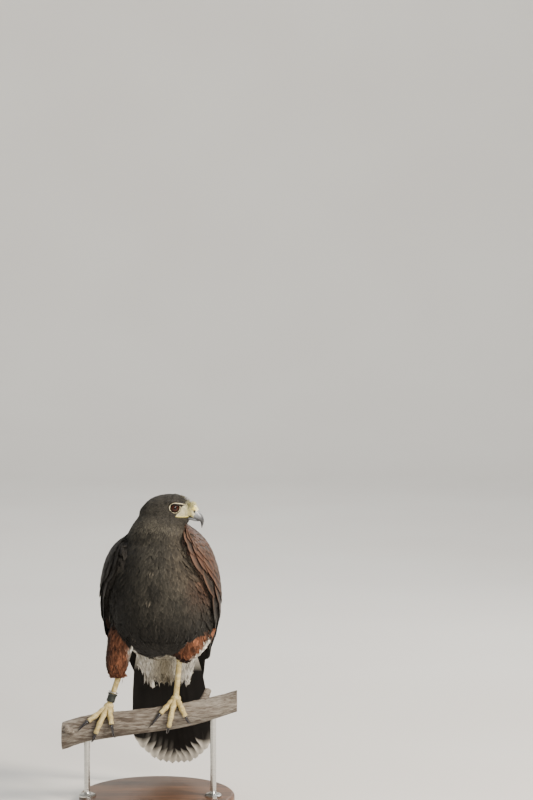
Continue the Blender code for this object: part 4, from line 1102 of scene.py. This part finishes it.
eyeSurface = eyeMaterial()
lidSurface = lidMaterial("orbitalSkin", "b3a886", "dcd4b4")
browShadeSurface = lidMaterial("browSkinAndShade", "0c0a08", "16120f")
for side, word in ((1, "left"), (-1, "right")):
    at, out = eyeFrame(side)
    across = unit(np.cross(upAxis, out))
    other = np.cross(out, across)
    turn = axesMatrix(across, other, out)
    build = bmesh.new()
    bmesh.ops.create_uvsphere(build, u_segments=48, v_segments=32, radius=headForm["eyeRadius"] * mm)
    gaze = build.loops.layers.uv.new("gaze")
    for face in build.faces:
        for loop in face.loops:
            spot = np.array(loop.vert.co) / mm / headForm["eyeRadius"]
            reach = math.acos(max(-1, min(1, spot[2]))) / math.radians(55)
            loop[gaze].uv = (min(reach, 1.0), math.atan2(spot[1], spot[0]) / (2 * math.pi) * 6)
    bmesh.ops.transform(build, matrix=Matrix.Translation(toWorld(at)) @ turn, verts=build.verts)
    addShape("eyeball" + word.title(), build, eyeSurface, ("eye_" + word,), "eye")
    # ring of bare skin round the eye, thin at the top where the brow hides it
    build = bmesh.new()
    rings = []
    for a in turnsOf(eyePlan["segments"]):
        way = across * math.cos(a) + other * math.sin(a)
        top = max(math.sin(a), 0.0)
        middle = at + out * (eyePlan["lidHeight"] + 0.5 * top) + way * (eyePlan["lidRadius"] - 1.5 * top ** 2)
        uneven = 1 - 0.25 * top + 0.12 * math.sin(9 * a) + 0.08 * math.sin(23 * a + 1)
        thick = eyePlan["lidThickness"] * uneven
        rings.append(ringRound(middle, way, out, turnsOf(10), thick, thick * 0.9))
    tubeThrough(build, rings + [rings[0]], capEnds=False)
    bmesh.ops.remove_doubles(build, verts=build.verts, dist=1e-6)
    addShape("eyelid" + word.title(), build, lidSurface, (), "cere_skin")
    ahead = across * -side

    def eyeSpot(forward, up, off):
        return at + ahead * forward + other * up + out * off

    # dark upper lid, cutting the top of the eye in a slanting line toward the bill: its near-black is partly
    # dark skin, partly painted shadow of the brow
    build = bmesh.new()
    path = curveThrough([eyeSpot(-6.8, 3.6, 6.2), eyeSpot(-4.0, 4.9, 7.7), eyeSpot(0.0, 4.9, 8.7),
                         eyeSpot(4.0, 4.3, 8.8), eyeSpot(8.0, 3.5, 7.9), eyeSpot(12.5, 2.4, 6.3)], 30)
    tubeAlong(build, path, 0.3 + 1.25 * np.sin(np.linspace(0.1, math.pi - 0.15, 30)) ** 0.9, 14, 0.8, out)
    addShape("upperLid" + word.title(), build, browShadeSurface, (), "dark_plumage")
    # pale bare edge of the bone that shades the eye
    build = bmesh.new()
    path = curveThrough([eyeSpot(-5.0, 6.0, 7.2), eyeSpot(-2.5, 6.9, 8.8), eyeSpot(2.0, 6.8, 9.7),
                         eyeSpot(7.0, 6.0, 9.6), eyeSpot(11.5, 5.0, 8.4), eyeSpot(15.5, 3.9, 6.4)], 30)
    wrinkle = 1 + 0.12 * np.sin(np.linspace(0, 26, 30))
    radii = 0.2 + 0.42 * np.sin(np.linspace(0.1, math.pi - 0.1, 30)) ** 0.6 * wrinkle
    tubeAlong(build, path, radii, 12, 1.0, out)
    addShape("browEdge" + word.title(), build, lidSurface, (), "cere_skin")


# Bill and cere
billPlan = {
    # share of the length, ridge forward and up, edge forward and up, half width
    "upper": [(-0.1, 29, 8.5, 31, -5.6, 7.5), (0, 34.3, 10.4, 34.3, -6.0, 8.7),
              (0.2, 42.2, 10.3, 37.5, -6.4, 9.3), (0.3, 46.2, 7.9, 39.5, -7.5, 9.2),
              (0.4, 49.3, 2.6, 41.5, -8.9, 8.2), (0.55, 53.3, -3.4, 45.4, -11, 6.9),
              (0.7, 56.2, -9, 49, -13.4, 5.5), (0.8, 57, -12.8, 51.3, -15.1, 4.4),
              (0.88, 56.6, -16.6, 52.3, -17.5, 3.2), (0.95, 55.2, -20.8, 52.8, -21.3, 2),
              (1, 53.7, -24.6, 53.1, -24.8, 0.6)],
    "lower": [(0, 34.3, -6.4, 34.3, -12.2, 7.6), (0.4, 40, -7.4, 39, -12.8, 6.2),
              (0.75, 45, -10.3, 44.3, -14.2, 4.6), (1, 49.4, -13, 49, -14.6, 2)],
    "cereEnd": 0.4,
    "nostril": (44.9, 0.6, 2.1, 2.5), "bump": (44.0, 4.9, 3.4, 2.3),
}


def billRings(table, first, last, count, sides, grow=0.0):
    rings = []
    for t in np.linspace(first, last, count):
        topF, topU, lowF, lowU, half = readTable(table, t)
        a = turnsOf(sides)
        c, s = np.cos(a), np.sin(a)
        rise = 0.5 + 0.5 * np.sign(c) * np.abs(c) ** 0.8
        width = np.sign(s) * (half + grow) * np.abs(s) ** 0.8
        forward, up = blend(lowF, topF, rise), blend(lowU, topU, rise)
        rings.append(toWorld(headPoint(forward + grow * c * 0.6, width, up + grow * c)))
    return rings


def hornMaterial(name, base, tip, low, high):
    # keratin sheath of the bill: satin, blue-grey at the base and blackish to the point, faint growth streaks
    made, tree = newMaterial(name)
    body = objectPlace(tree)
    axis = Vector(toWorld(headPoint(0, 0, 0)))
    moved = addNode(tree, "ShaderNodeVectorMath", {0: body, 1: axis}, operation="SUBTRACT").outputs["Vector"]
    along = addNode(tree, "ShaderNodeVectorMath", {0: moved, 1: Vector(forwardAxis - 0.75 * upAxis) * 1000},
                    operation="DOT_PRODUCT").outputs["Value"]
    streaks = noiseAt(tree, body, 700.0, 4.0)
    shade = mathOf(tree, "MULTIPLY_ADD", streaks, 6.0, along)
    place = rangeOf(tree, shade, low, high)
    colour = ramp(tree, place, [(0.0, base), (0.4, "83888d"), (0.7, "4c4e52"), (1.0, tip)])
    finishMaterial(tree, colour, 0.32, streaks, 0.1, 0.0001, Coat_Weight=0.2, Coat_Roughness=0.2)
    return made


def cereMaterial():
    # cere: bare waxy skin, pale yellow, very finely pitted, with painted shade making it dark inside the
    # nostrils
    made, tree = newMaterial("cereSkin")
    body = objectPlace(tree)
    pits = noiseAt(tree, body, 1100.0, 3.0)
    wide = noiseAt(tree, body, 160.0, 1.0)
    both = mathOf(tree, "MULTIPLY_ADD", pits, wide)
    ground = ramp(tree, wide, [(0.3, "cfc58a"), (0.65, "e4dfb4")])
    marks = addNode(tree, "ShaderNodeAttribute", attribute_name="nostril").outputs["Color"]
    split = addNode(tree, "ShaderNodeSeparateColor", {"Color": marks})
    warm = mixOf(tree, split.outputs["Green"], ground, rgba("dccb4e"))
    colour = mixOf(tree, split.outputs["Red"], warm, rgba("191510"))
    finishMaterial(tree, colour, 0.42, both, 0.25, 0.0002, Subsurface_Weight=0.1, Subsurface_Scale=0.002)
    return made


build = bmesh.new()
tubeThrough(build, billRings(billPlan["upper"], billPlan["cereEnd"] - 0.03, 1, 46, 36, -0.1))
addShape("billUpper", build, hornMaterial("billHorn", "b4b9bc", "1d1d20", 42, 74), ("bill_upper",), "bill_horn")
# the lower bill is given a darker base than the upper: painted shade under the upper bill
build = bmesh.new()
tubeThrough(build, billRings(billPlan["lower"], 0, 1, 22, 28))
addShape("billLower", build, hornMaterial("billHornLowerShaded", "4a4c50", "1d1d20", 46, 70), ("bill_lower",),
         "bill_horn")
build = bmesh.new()
tubeThrough(build, billRings(billPlan["upper"], -0.1, billPlan["cereEnd"], 64, 96, 0.15))
cereSurface = cereMaterial()
sheath = meshFrom(build, "cereSheath")
places = birdSpots(sheath)
spots = intoHead(places)


def nearSpot(plan):
    forward, up, long, tall = plan
    away = ((spots[:, 0] - forward) / long) ** 2 + ((spots[:, 2] - up) / tall) ** 2
    return np.exp(-away ** 2) * (np.abs(spots[:, 1]) > 4)


hollow, bump = nearSpot(billPlan["nostril"]), nearSpot(billPlan["bump"])
inward = leftAxis * -np.sign(spots[:, 1])[:, None]
places = places + inward * (1.5 * hollow - 0.7 * bump * (1 - hollow))[:, None]
sheath.vertices.foreach_set("co", toWorld(places).ravel())
# nostril attribute: red is painted shade inside the nostrils, green the yellow bump above them
marks = sheath.color_attributes.new(name="nostril", type="FLOAT_COLOR", domain="POINT")
marks.data.foreach_set("color", np.stack([hollow, bump * 0.9, 0 * bump, 0 * bump + 1], axis=1).ravel())
sheathBuild = bmesh.new()
sheathBuild.from_mesh(sheath)
sheathTree = BVHTree.FromBMesh(sheathBuild)
sheathBuild.free()
addObject("cereSheath", sheath, cereSurface, ("cere",), "cere_skin")
# fleshy yellow edge of the mouth, from the cheek to the bill
gapeSurface = lidMaterial("gapeSkin", "cbbd66", "e2d88c")
for side, word in ((1, "Left"), (-1, "Right")):
    build = bmesh.new()
    path = []
    for forward, up in ((19.6, -4.4), (22.5, -4.9), (26, -5.3), (30, -5.6), (34, -6.0)):
        at, _ = onHead((forward, side * 40, up), (0, -side, 0), 0.1)
        if at is not None:
            path.append(at)
    path.append(headPoint(36.0, side * 9.6, -6.3))
    tubeAlong(build, curveThrough(path, 40), 0.2 + 0.72 * np.sin(np.linspace(0.2, math.pi - 0.1, 40)), 12)
    addShape("gapeEdge" + word, build, gapeSurface, (), "cere_skin")
print("head parts made")


def bristleBatch(roots, ways, ups, lengths, halves, colours):
    # thin stiff feathers that leave the skin, bending a little to their tips
    shape = vaneShape(vanePlans["head"], halves, lengths)
    t = shape["t"][None, :, None]
    bend = lengths[:, None, None] * 0.14 * t ** 2
    centres = roots[:, None, :] + ways[:, None, :] * lengths[:, None, None] * t + ups[:, None, :] * bend
    tangents = unit(np.gradient(centres, axis=1))
    sides = unit(np.cross(ups[:, None, :], tangents))
    over = np.cross(tangents, sides)
    slip = (shape["along"] - shape["t"][None, :, None]) * lengths[:, None, None]
    points = spreadVane(centres, (tangents, slip), (sides, shape["x"]), (over, shape["lift"]))
    lighter = np.array([0.75, 0.9, 1.0, 1.05, 1.1])[None, :len(shape["t"]), None, None]
    tint = colours[:, None, None, :] * lighter
    spots = intoHead(roots)
    home = np.stack([0.3 + 0.004 * spots[:, 0], 0.9 + 0.003 * spots[:, 2]], axis=-1)
    return {"points": points, "tint": np.broadcast_to(tint, points.shape), "vane": shape["vane"],
            "local": shape["local"], "home": home}


def makeBristles():
    # pale bristles over the lores and brow, dark hair-like ones standing on the forehead
    roots, ways, ups, lengths, halves, colours = [], [], [], [], [], []

    def place(spot, aim, way, length, half, shade):
        at, n = onHead(spot, aim, -0.3, (skinTree, sheathTree))
        if at is None:
            return
        way = forwardAxis * way[0] + leftAxis * way[1] + upAxis * way[2] + n * way[3]
        way = unit(way + rng.normal(0, 0.12, 3))
        roots.append(at)
        ways.append(way)
        ups.append(unit(n - way * (n @ way) + 1e-3 * upAxis))
        lengths.append(length * rng.uniform(0.75, 1.25))
        halves.append(half)
        colours.append(linear(shade) * rng.uniform(0.8, 1.15))

    for side in (1, -1):
        for _ in range(700):
            forward, up = rng.uniform(21, 42), rng.uniform(-7, 15)
            if faceBare(np.array([forward, 9.0, up]), 0.8) > 0.6:
                shade = "e6e2c2" if rng.random() < 0.8 else "a5a28b"
                place((forward, side * 40, up), (0, -side, 0), (0.8, 0, 0.25, 0.12), 3.6, 0.12, shade)
        for _ in range(420):
            forward, up = rng.uniform(31, 38.5), rng.uniform(-5.5, 16)
            shade = "e6e2c2" if rng.random() < 0.8 else "b5b08c"
            place((forward, side * 40, up), (0, -side, 0), (0.8, 0, 0.32, 0.16), 3.4, 0.12, shade)
        for _ in range(330):
            forward = 31 + 12 * math.sqrt(rng.random())
            left = side * rng.uniform(0, 9)
            shade = "e4dfb2" if rng.random() < 0.75 else "a39e70"
            length = 5.4 - 0.3 * abs(forward - 37)
            place((forward, left, 40), (0, 0, -1), (0.62, left * 0.02, 0.5, 0.1), length, 0.13, shade)
    for _ in range(260):
        forward, left = rng.uniform(22, 38), rng.uniform(-11, 11)
        shade = "3b382f" if rng.random() < 0.75 else "a09a7c"
        length = 1.2 + 0.26 * (forward - 16)
        place((forward, left, 40), (0, 0, -1), (0.35, 0.02 * left, 0.5, 0.1), length, 0.11, shade)
    batch = bristleBatch(*(np.array(part) for part in (roots, ways, ups, lengths, halves, colours)))
    coatPiece("faceBristles", [batch], coatMaterial, (), "dark_plumage")


makeBristles()


# Legs, feet and claws
legPlan = {
    "knee": {"right": (-64.5, 4, 51), "left": (28, -8, 79)},
    "foot": {"right": (-79.0, 0.0, 7.0), "left": (22.0, -2.0, 19.0)},
    # number, length of toe and of claw, heading in degrees
    "toes": {"right": [(1, 27, 29, 188), (2, 33, 28, -10), (3, 48, 22, 22), (4, 37, 20, 52)],
             "left": [(1, 27, 29, 172), (2, 33, 28, 42), (3, 48, 22, 12), (4, 37, 20, -24)]},
}
perchPlan = {"line": [(-150, -38, 21), (-110, -27, 20.5), (-77, -21, 20), (-25, -15, 19.5), (22, -8, 18.5),
                      (70, 2, 17.5), (115, 16, 17)]}


def perchRadius(x, turn):
    radius = readTable(perchPlan["line"], x)[..., 1]
    return radius * (1 + 0.035 * np.sin(2 * turn + 0.04 * x) + 0.02 * np.sin(3 * turn - 0.07 * x + 1))


def perchPoint(x, turn, off):
    reach = perchRadius(x, turn) + off
    height = readTable(perchPlan["line"], x)[..., 0] + math.cos(turn) * reach
    return np.array([x, -math.sin(turn) * reach, height])


def toePoint(word, heading, length, claw, s):
    turn = math.radians(heading)
    foot = legPlan["foot"][word]
    x = foot[0] - s * math.sin(turn)
    if s <= length:
        off = 3.7 + (foot[2] - perchPoint(foot[0], 0, 0)[2] - 4) * math.exp(-(s / 9.0) ** 2)
    else:
        u = (s - length) / claw
        off = 3.7 + 0.2 * min(1, 8 * u) + 2.6 * math.sin(math.pi * u) - 3.0 * u
    return perchPoint(x, s * math.cos(turn) / (perchRadius(x, 0) + 4.0), off)


def legMaterial():
    # scaly leg skin: pale yellow, dry, with darker lines between the scales and dusty edges
    made, tree = newMaterial("scalyLegSkin")
    body = objectPlace(tree)
    cells = addNode(tree, "ShaderNodeTexVoronoi", {"Vector": body, "Scale": 780.0},
                    feature="DISTANCE_TO_EDGE")
    wide = noiseAt(tree, body, 150.0, 3.0)
    seam = rangeOf(tree, cells.outputs["Distance"], 0.0, 0.12)
    ground = ramp(tree, wide, [(0.3, "b09a5c"), (0.55, "cfbe88"), (0.75, "e2d8ac")])
    colour = mixOf(tree, seam, rgba("8d7b4a"), ground)
    finishMaterial(tree, colour, 0.55, seam, 0.4, 0.0003)
    return made


def clawMaterial():
    # claw keratin: glossy black with a trace of lengthwise grain
    made, tree = newMaterial("clawHorn")
    body = objectPlace(tree)
    grain = noiseAt(tree, body, 500.0, 3.0)
    colour = ramp(tree, grain, [(0.3, "0e0d0f"), (0.7, "25232a")])
    finishMaterial(tree, colour, 0.25, grain, 0.1, 0.0001, Coat_Weight=0.3, Coat_Roughness=0.1)
    return made


legSurface, clawSurface = legMaterial(), clawMaterial()


def scaledTube(build, path, radii, upHint, sides, scale, period):
    # tube with raised plates across its top face
    length = lengthAlong(path)
    across, over = framesAlong(path, upHint)
    turns = turnsOf(sides)
    rings = []
    for i, place in enumerate(path):
        plate = abs(math.sin(math.pi * length[i] / period)) ** 0.6
        radius = radii[i] + scale * plate * np.clip(np.sin(turns), 0, 1) ** 0.5
        rings.append(ringRound(place, across[i], over[i], turns, radius))
    tubeThrough(build, rings)


def toeRadius(s, length):
    u = s / length
    return (4.8 - 1.1 * u + 0.45 * math.cos(6 * math.pi * u)) * (0.85 if u > 0.97 else 1.0)


def awayFromPerch(path):
    middle = np.array([[p[0], 0, readTable(perchPlan["line"], p[0])[0]] for p in path])
    return unit(path - middle)


for word in ("right", "left"):
    foot, knee = np.array(legPlan["foot"][word]), np.array(legPlan["knee"][word])
    up = unit(knee - foot)
    build = bmesh.new()
    length = np.linalg.norm(knee - foot)
    path = np.array([foot + up * s for s in np.linspace(2, length + 6, 60)])
    radii = [blend(4.9, 4.15, float(ease(s, 0, 12))) + 0.5 * float(ease(s, length - 8, length)) for s in
             np.linspace(2, length + 6, 60)]
    scaledTube(build, path, radii, (0, 1.0, 0), 24, 0.28, 3.4)
    addShape("tarsus" + word.title(), build, legSurface, ("tarsus_" + word,), "leg_skin")
    build = bmesh.new()
    squash = Matrix.Diagonal((0.0078, 0.0078, 0.0062, 1))
    bmesh.ops.create_uvsphere(build, u_segments=32, v_segments=20, radius=1.0,
                              matrix=Matrix.Translation(toWorld(foot)) @ squash)
    for number, toe, claw, heading in legPlan["toes"][word]:
        places = np.linspace(0, toe, 44)
        path = np.array([toePoint(word, heading, toe, claw, s) for s in places])
        radii = [toeRadius(s, toe) - 0.15 for s in places]
        scaledTube(build, path, radii, awayFromPerch(path), 20, 0.3, 3.0)
    addShape("foot" + word.title(), build, legSurface, ("foot_" + word,), "leg_skin")
    for number, toe, claw, heading in legPlan["toes"][word]:
        build = bmesh.new()
        places = np.linspace(toe - 2, toe + claw, 24)
        path = np.array([toePoint(word, heading, toe, claw, s) for s in places])
        across, over = framesAlong(path, awayFromPerch(path))
        radii = 2.9 * (1 - np.linspace(0, 1, 24)) ** 0.8 + 0.25
        tubeThrough(build, [ringRound(p, a, o, turnsOf(18), r * 0.85, r)
                            for p, a, o, r in zip(path, across, over, radii)])
        name = f"claw{word.title()}{number}"
        addShape(name, build, clawSurface, (f"claw_{word}_{number}",), "claw_horn")
print("legs made")


# Anklet
def leatherMaterial():
    # vegetable-tanned leather dyed black: satin, finely pebbled, greyer where it bends
    made, tree = newMaterial("ankletLeather")
    body = objectPlace(tree)
    pebbles = addNode(tree, "ShaderNodeTexVoronoi", {"Vector": body, "Scale": 1300.0}).outputs["Distance"]
    worn = noiseAt(tree, body, 220.0, 4.0)
    colour = ramp(tree, worn, [(0.3, "141715"), (0.7, "2c332f")])
    finishMaterial(tree, colour, 0.5, pebbles, 0.3, 0.0002)
    return made


def steelMaterial():
    # turned and polished stainless steel: fine rings from the lathe, soft reflections
    made, tree = newMaterial("polishedSteel")
    body = objectPlace(tree)
    stretched = stretchedPlace(tree, body, (1.0, 1.0, 60.0))
    lines = noiseAt(tree, stretched, 60.0, 2.0)
    colour = ramp(tree, lines, [(0.3, "b9bab8"), (0.7, "d2d2cf")])
    rough = rangeOf(tree, lines, 0.0, 1.0, 0.2, 0.36)
    finishMaterial(tree, colour, rough, lines, 0.05, 0.0001, Metallic=1.0)
    return made


steelSurface = steelMaterial()
foot, knee = np.array(legPlan["foot"]["right"]), np.array(legPlan["knee"]["right"])
axis = unit(knee - foot)
across = unit(np.cross((0, 1, 0.1), axis))
other = np.cross(axis, across)
legTurn = axesMatrix(across, other, axis)


def spun(name, profile, steps, placing=None):
    # a closed profile of (radius, height) spun a full turn round its own axis
    build = bmesh.new()
    verts = [build.verts.new((r * mm, 0, h * mm)) for r, h in profile]
    edges = [build.edges.new((verts[i], verts[(i + 1) % len(verts)])) for i in range(len(verts))
             if profile[i][0] > 0 or profile[(i + 1) % len(verts)][0] > 0]
    bmesh.ops.spin(build, geom=verts + edges, cent=(0, 0, 0), axis=(0, 0, 1), angle=2 * math.pi, steps=steps,
                   use_merge=True)
    bmesh.ops.remove_doubles(build, verts=build.verts, dist=1e-6)
    if placing:
        bmesh.ops.transform(build, matrix=placing, verts=build.verts)
    return meshFrom(build, name)


placing = Matrix.Translation(toWorld(foot)) @ legTurn
cuff = [(5.2, 7.6), (6.0, 7.3), (6.35, 8.0), (6.3, 12), (6.3, 16.6), (6.5, 17.6), (7.2, 18.2), (7.5, 19.0),
        (7.2, 19.9), (6.2, 20.2), (5.2, 20.0)]
mesh = spun("ankletCuff", cuff, 64, placing)
mesh.set_sharp_from_angle(angle=math.radians(50))
addObject("ankletCuff", mesh, leatherMaterial(), ("anklet_cuff",), "anklet_leather")
ring = [(6.4 + 0.85 * math.cos(a), 22.2 + 0.85 * math.sin(a)) for a in turnsOf(14)]
addObject("ankletRing", spun("ankletRing", ring, 64, placing), steelSurface, ("anklet_ring",), "steel")


# Perch
def barkMaterial():
    # weathered juniper bark: grey fibrous strips, brown in the furrows
    made, tree = newMaterial("juniperBark")
    body = objectPlace(tree)
    drawn = stretchedPlace(tree, body, (0.12, 1.0, 1.0))
    fibres = noiseAt(tree, drawn, 420.0, 6.0, 0.7)
    wide = noiseAt(tree, drawn, 60.0, 3.0)
    mixed = mathOf(tree, "MULTIPLY_ADD", wide, 0.6, fibres)
    colour = ramp(tree, mixed, [(0.5, "2e2620"), (0.72, "6b6259"), (0.95, "a09a90")])
    finishMaterial(tree, colour, 0.9, mixed, 1.0, 0.003, Specular_IOR_Level=0.25)
    return made


def makePerch():
    build = bmesh.new()
    rings = []
    for x in np.linspace(-149, 114, 240):
        ring = []
        for a in turnsOf(128):
            strip = noise.noise(Vector((x * 0.012, 3.2 * math.cos(a), 3.2 * math.sin(a))))
            crack = 1 - 5 * abs(noise.noise(Vector((x * 0.016, 4.5 * math.cos(a), 4.5 * math.sin(a) + 3))))
            fine = noise.noise(Vector((x * 0.05, 12 * math.cos(a), 12 * math.sin(a) + 7)))
            ring.append(perchPoint(x, a, -0.8 + 1.1 * strip + 0.6 * fine - 1.5 * max(crack, 0)))
        rings.append(toWorld(np.array(ring)))
    tubeThrough(build, rings)
    for start, end, radius in (((58, 6, 2), (70, 30, 26), 5.5), ((-128, -6, -34), (-142, -30, -20), 5.0)):
        start, end = np.array(start, float), np.array(end, float)
        axis = unit(end - start)
        side = unit(np.cross(axis, (0, 0, 1)))
        over = np.cross(side, axis)
        rings = []
        for t in np.linspace(0, 1, 24):
            bumps = np.array([0.5 * noise.noise(Vector((t * 1.5, 2 * math.cos(a), 2 * math.sin(a) + radius)))
                              for a in turnsOf(28)])
            around = radius * (1.25 - 0.33 * t) + bumps
            rings.append(ringRound(start + (end - start) * t, side, over, turnsOf(28), around))
        tubeThrough(build, rings)
    addShape("perchBark", build, barkMaterial(), ("perch_branch",), "bark")


makePerch()


# Display stand
def standMaterial():
    # stained and waxed hardwood: straight dark grain under a thin satin wax
    made, tree = newMaterial("stainedHardwood")
    body = objectPlace(tree)
    drawn = stretchedPlace(tree, body, (0.06, 1.0, 1.0))
    grain = noiseAt(tree, drawn, 260.0, 5.0)
    figure = noiseAt(tree, drawn, 40.0, 2.0)
    mixed = mathOf(tree, "MULTIPLY_ADD", figure, 0.7, grain)
    colour = ramp(tree, mixed, [(0.55, "2a1a11"), (0.8, "4b3120"), (1.0, "6a4930")])
    finishMaterial(tree, colour, 0.42, grain, 0.12, 0.0002, Coat_Weight=0.15, Coat_Roughness=0.3)
    return made


edge = [(0, 18), (112, 18), (113.5, 17.9), (114.6, 17.4), (115.4, 16.6), (116.2, 15.9), (117.2, 15.0),
        (118, 13.6), (118, 2.2), (117.6, 1.0), (116.6, 0.2), (115.6, 0), (0, 0)]
mesh = spun("standBase", edge, 128)
mesh.set_sharp_from_angle(angle=math.radians(40))
addObject("standBase", mesh, standMaterial(), ("stand_base",), "stand_wood")
for word in ("left", "right"):
    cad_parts["stand_rod_" + word].data.materials.clear()
    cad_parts["stand_rod_" + word].data.materials.append(steelSurface)
print("perch and stand made")


# Floor, light and camera
studio = {"key": 150.0, "fill": 26.0, "rim": 26.0, "top": 60.0, "wall": 130.0, "sky": 0.52}
build = bmesh.new()
profile = [(0.0, 0.0), (3.0, 0.0), (5.2, 0.0)]
profile += [(5.2 + 1.6 * math.sin(a), 1.6 - 1.6 * math.cos(a)) for a in np.linspace(0.1, math.pi / 2, 14)]
profile += [(6.8, 3.0), (6.8, 4.5)]
verts = [build.verts.new((r, 0, h)) for r, h in profile]
edges = [build.edges.new(pair) for pair in zip(verts, verts[1:])]
bmesh.ops.spin(build, geom=verts + edges, cent=(0, 0, 0), axis=(0, 0, 1), angle=2 * math.pi, steps=96,
               use_merge=True)
bmesh.ops.remove_doubles(build, verts=build.verts, dist=1e-5)
bmesh.ops.recalc_face_normals(build, faces=build.faces)
mesh = bpy.data.meshes.new("studioFloor")
build.to_mesh(mesh)
build.free()
mesh.shade_smooth()
# seamless paper sweep: matt, pale warm grey, with the faintest unevenness
floorMade, tree = newMaterial("paperSweep")
body = objectPlace(tree)
soft = noiseAt(tree, body, 2.0, 1.0)
finishMaterial(tree, ramp(tree, soft, [(0.3, "d9d6d0"), (0.7, "dcdad4")]), 0.85)
mesh.materials.append(floorMade)
floor = bpy.data.objects.new("studioFloor", mesh)
bpy.context.scene.collection.objects.link(floor)

world = bpy.data.worlds.new("softSky")
bpy.context.scene.world = world
world.use_nodes = True
world.node_tree.nodes["Background"].inputs["Color"].default_value = rgba("e8ebee")
world.node_tree.nodes["Background"].inputs["Strength"].default_value = studio["sky"]


def areaLight(name, place, target, size, power, colour):
    lamp = bpy.data.lights.new(name, "AREA")
    lamp.size = size
    lamp.energy = power
    lamp.color = linear(colour)
    item = bpy.data.objects.new(name, lamp)
    item.location = place
    item.rotation_euler = (Vector(target) - Vector(place)).to_track_quat("-Z", "Y").to_euler()
    bpy.context.scene.collection.objects.link(item)


areaLight("keySoftbox", (2.1, -1.3, 2.0), (0.0, 0.0, 0.35), 0.6, studio["key"], "fff1e0")
areaLight("wallSoftbox", (0.0, 2.6, 3.6), (0.0, 6.8, 1.2), 2.5, studio["wall"], "ffffff")
areaLight("fillSoftbox", (1.2, -2.2, 1.0), (0.0, 0.0, 0.25), 0.28, studio["fill"], "fff7ee")
areaLight("rimSoftbox", (1.0, 1.6, 1.7), (0.0, 0.0, 0.33), 0.8, studio["rim"], "ffffff")
areaLight("topSoftbox", (0.0, 0.2, 4.0), (0.0, 0.0, 0.0), 3.5, studio["top"], "ffffff")

lens = bpy.data.cameras.new("photoLens")
lens.lens = 100.0
lens.sensor_width = 36.0
camera = bpy.data.objects.new("photoCamera", lens)
camera.location = (0.1663, -3.3318, 0.8102)
camera.rotation_euler = (math.radians(90 - 3.35), 0, 0)
bpy.context.scene.collection.objects.link(camera)
bpy.context.scene.camera = camera
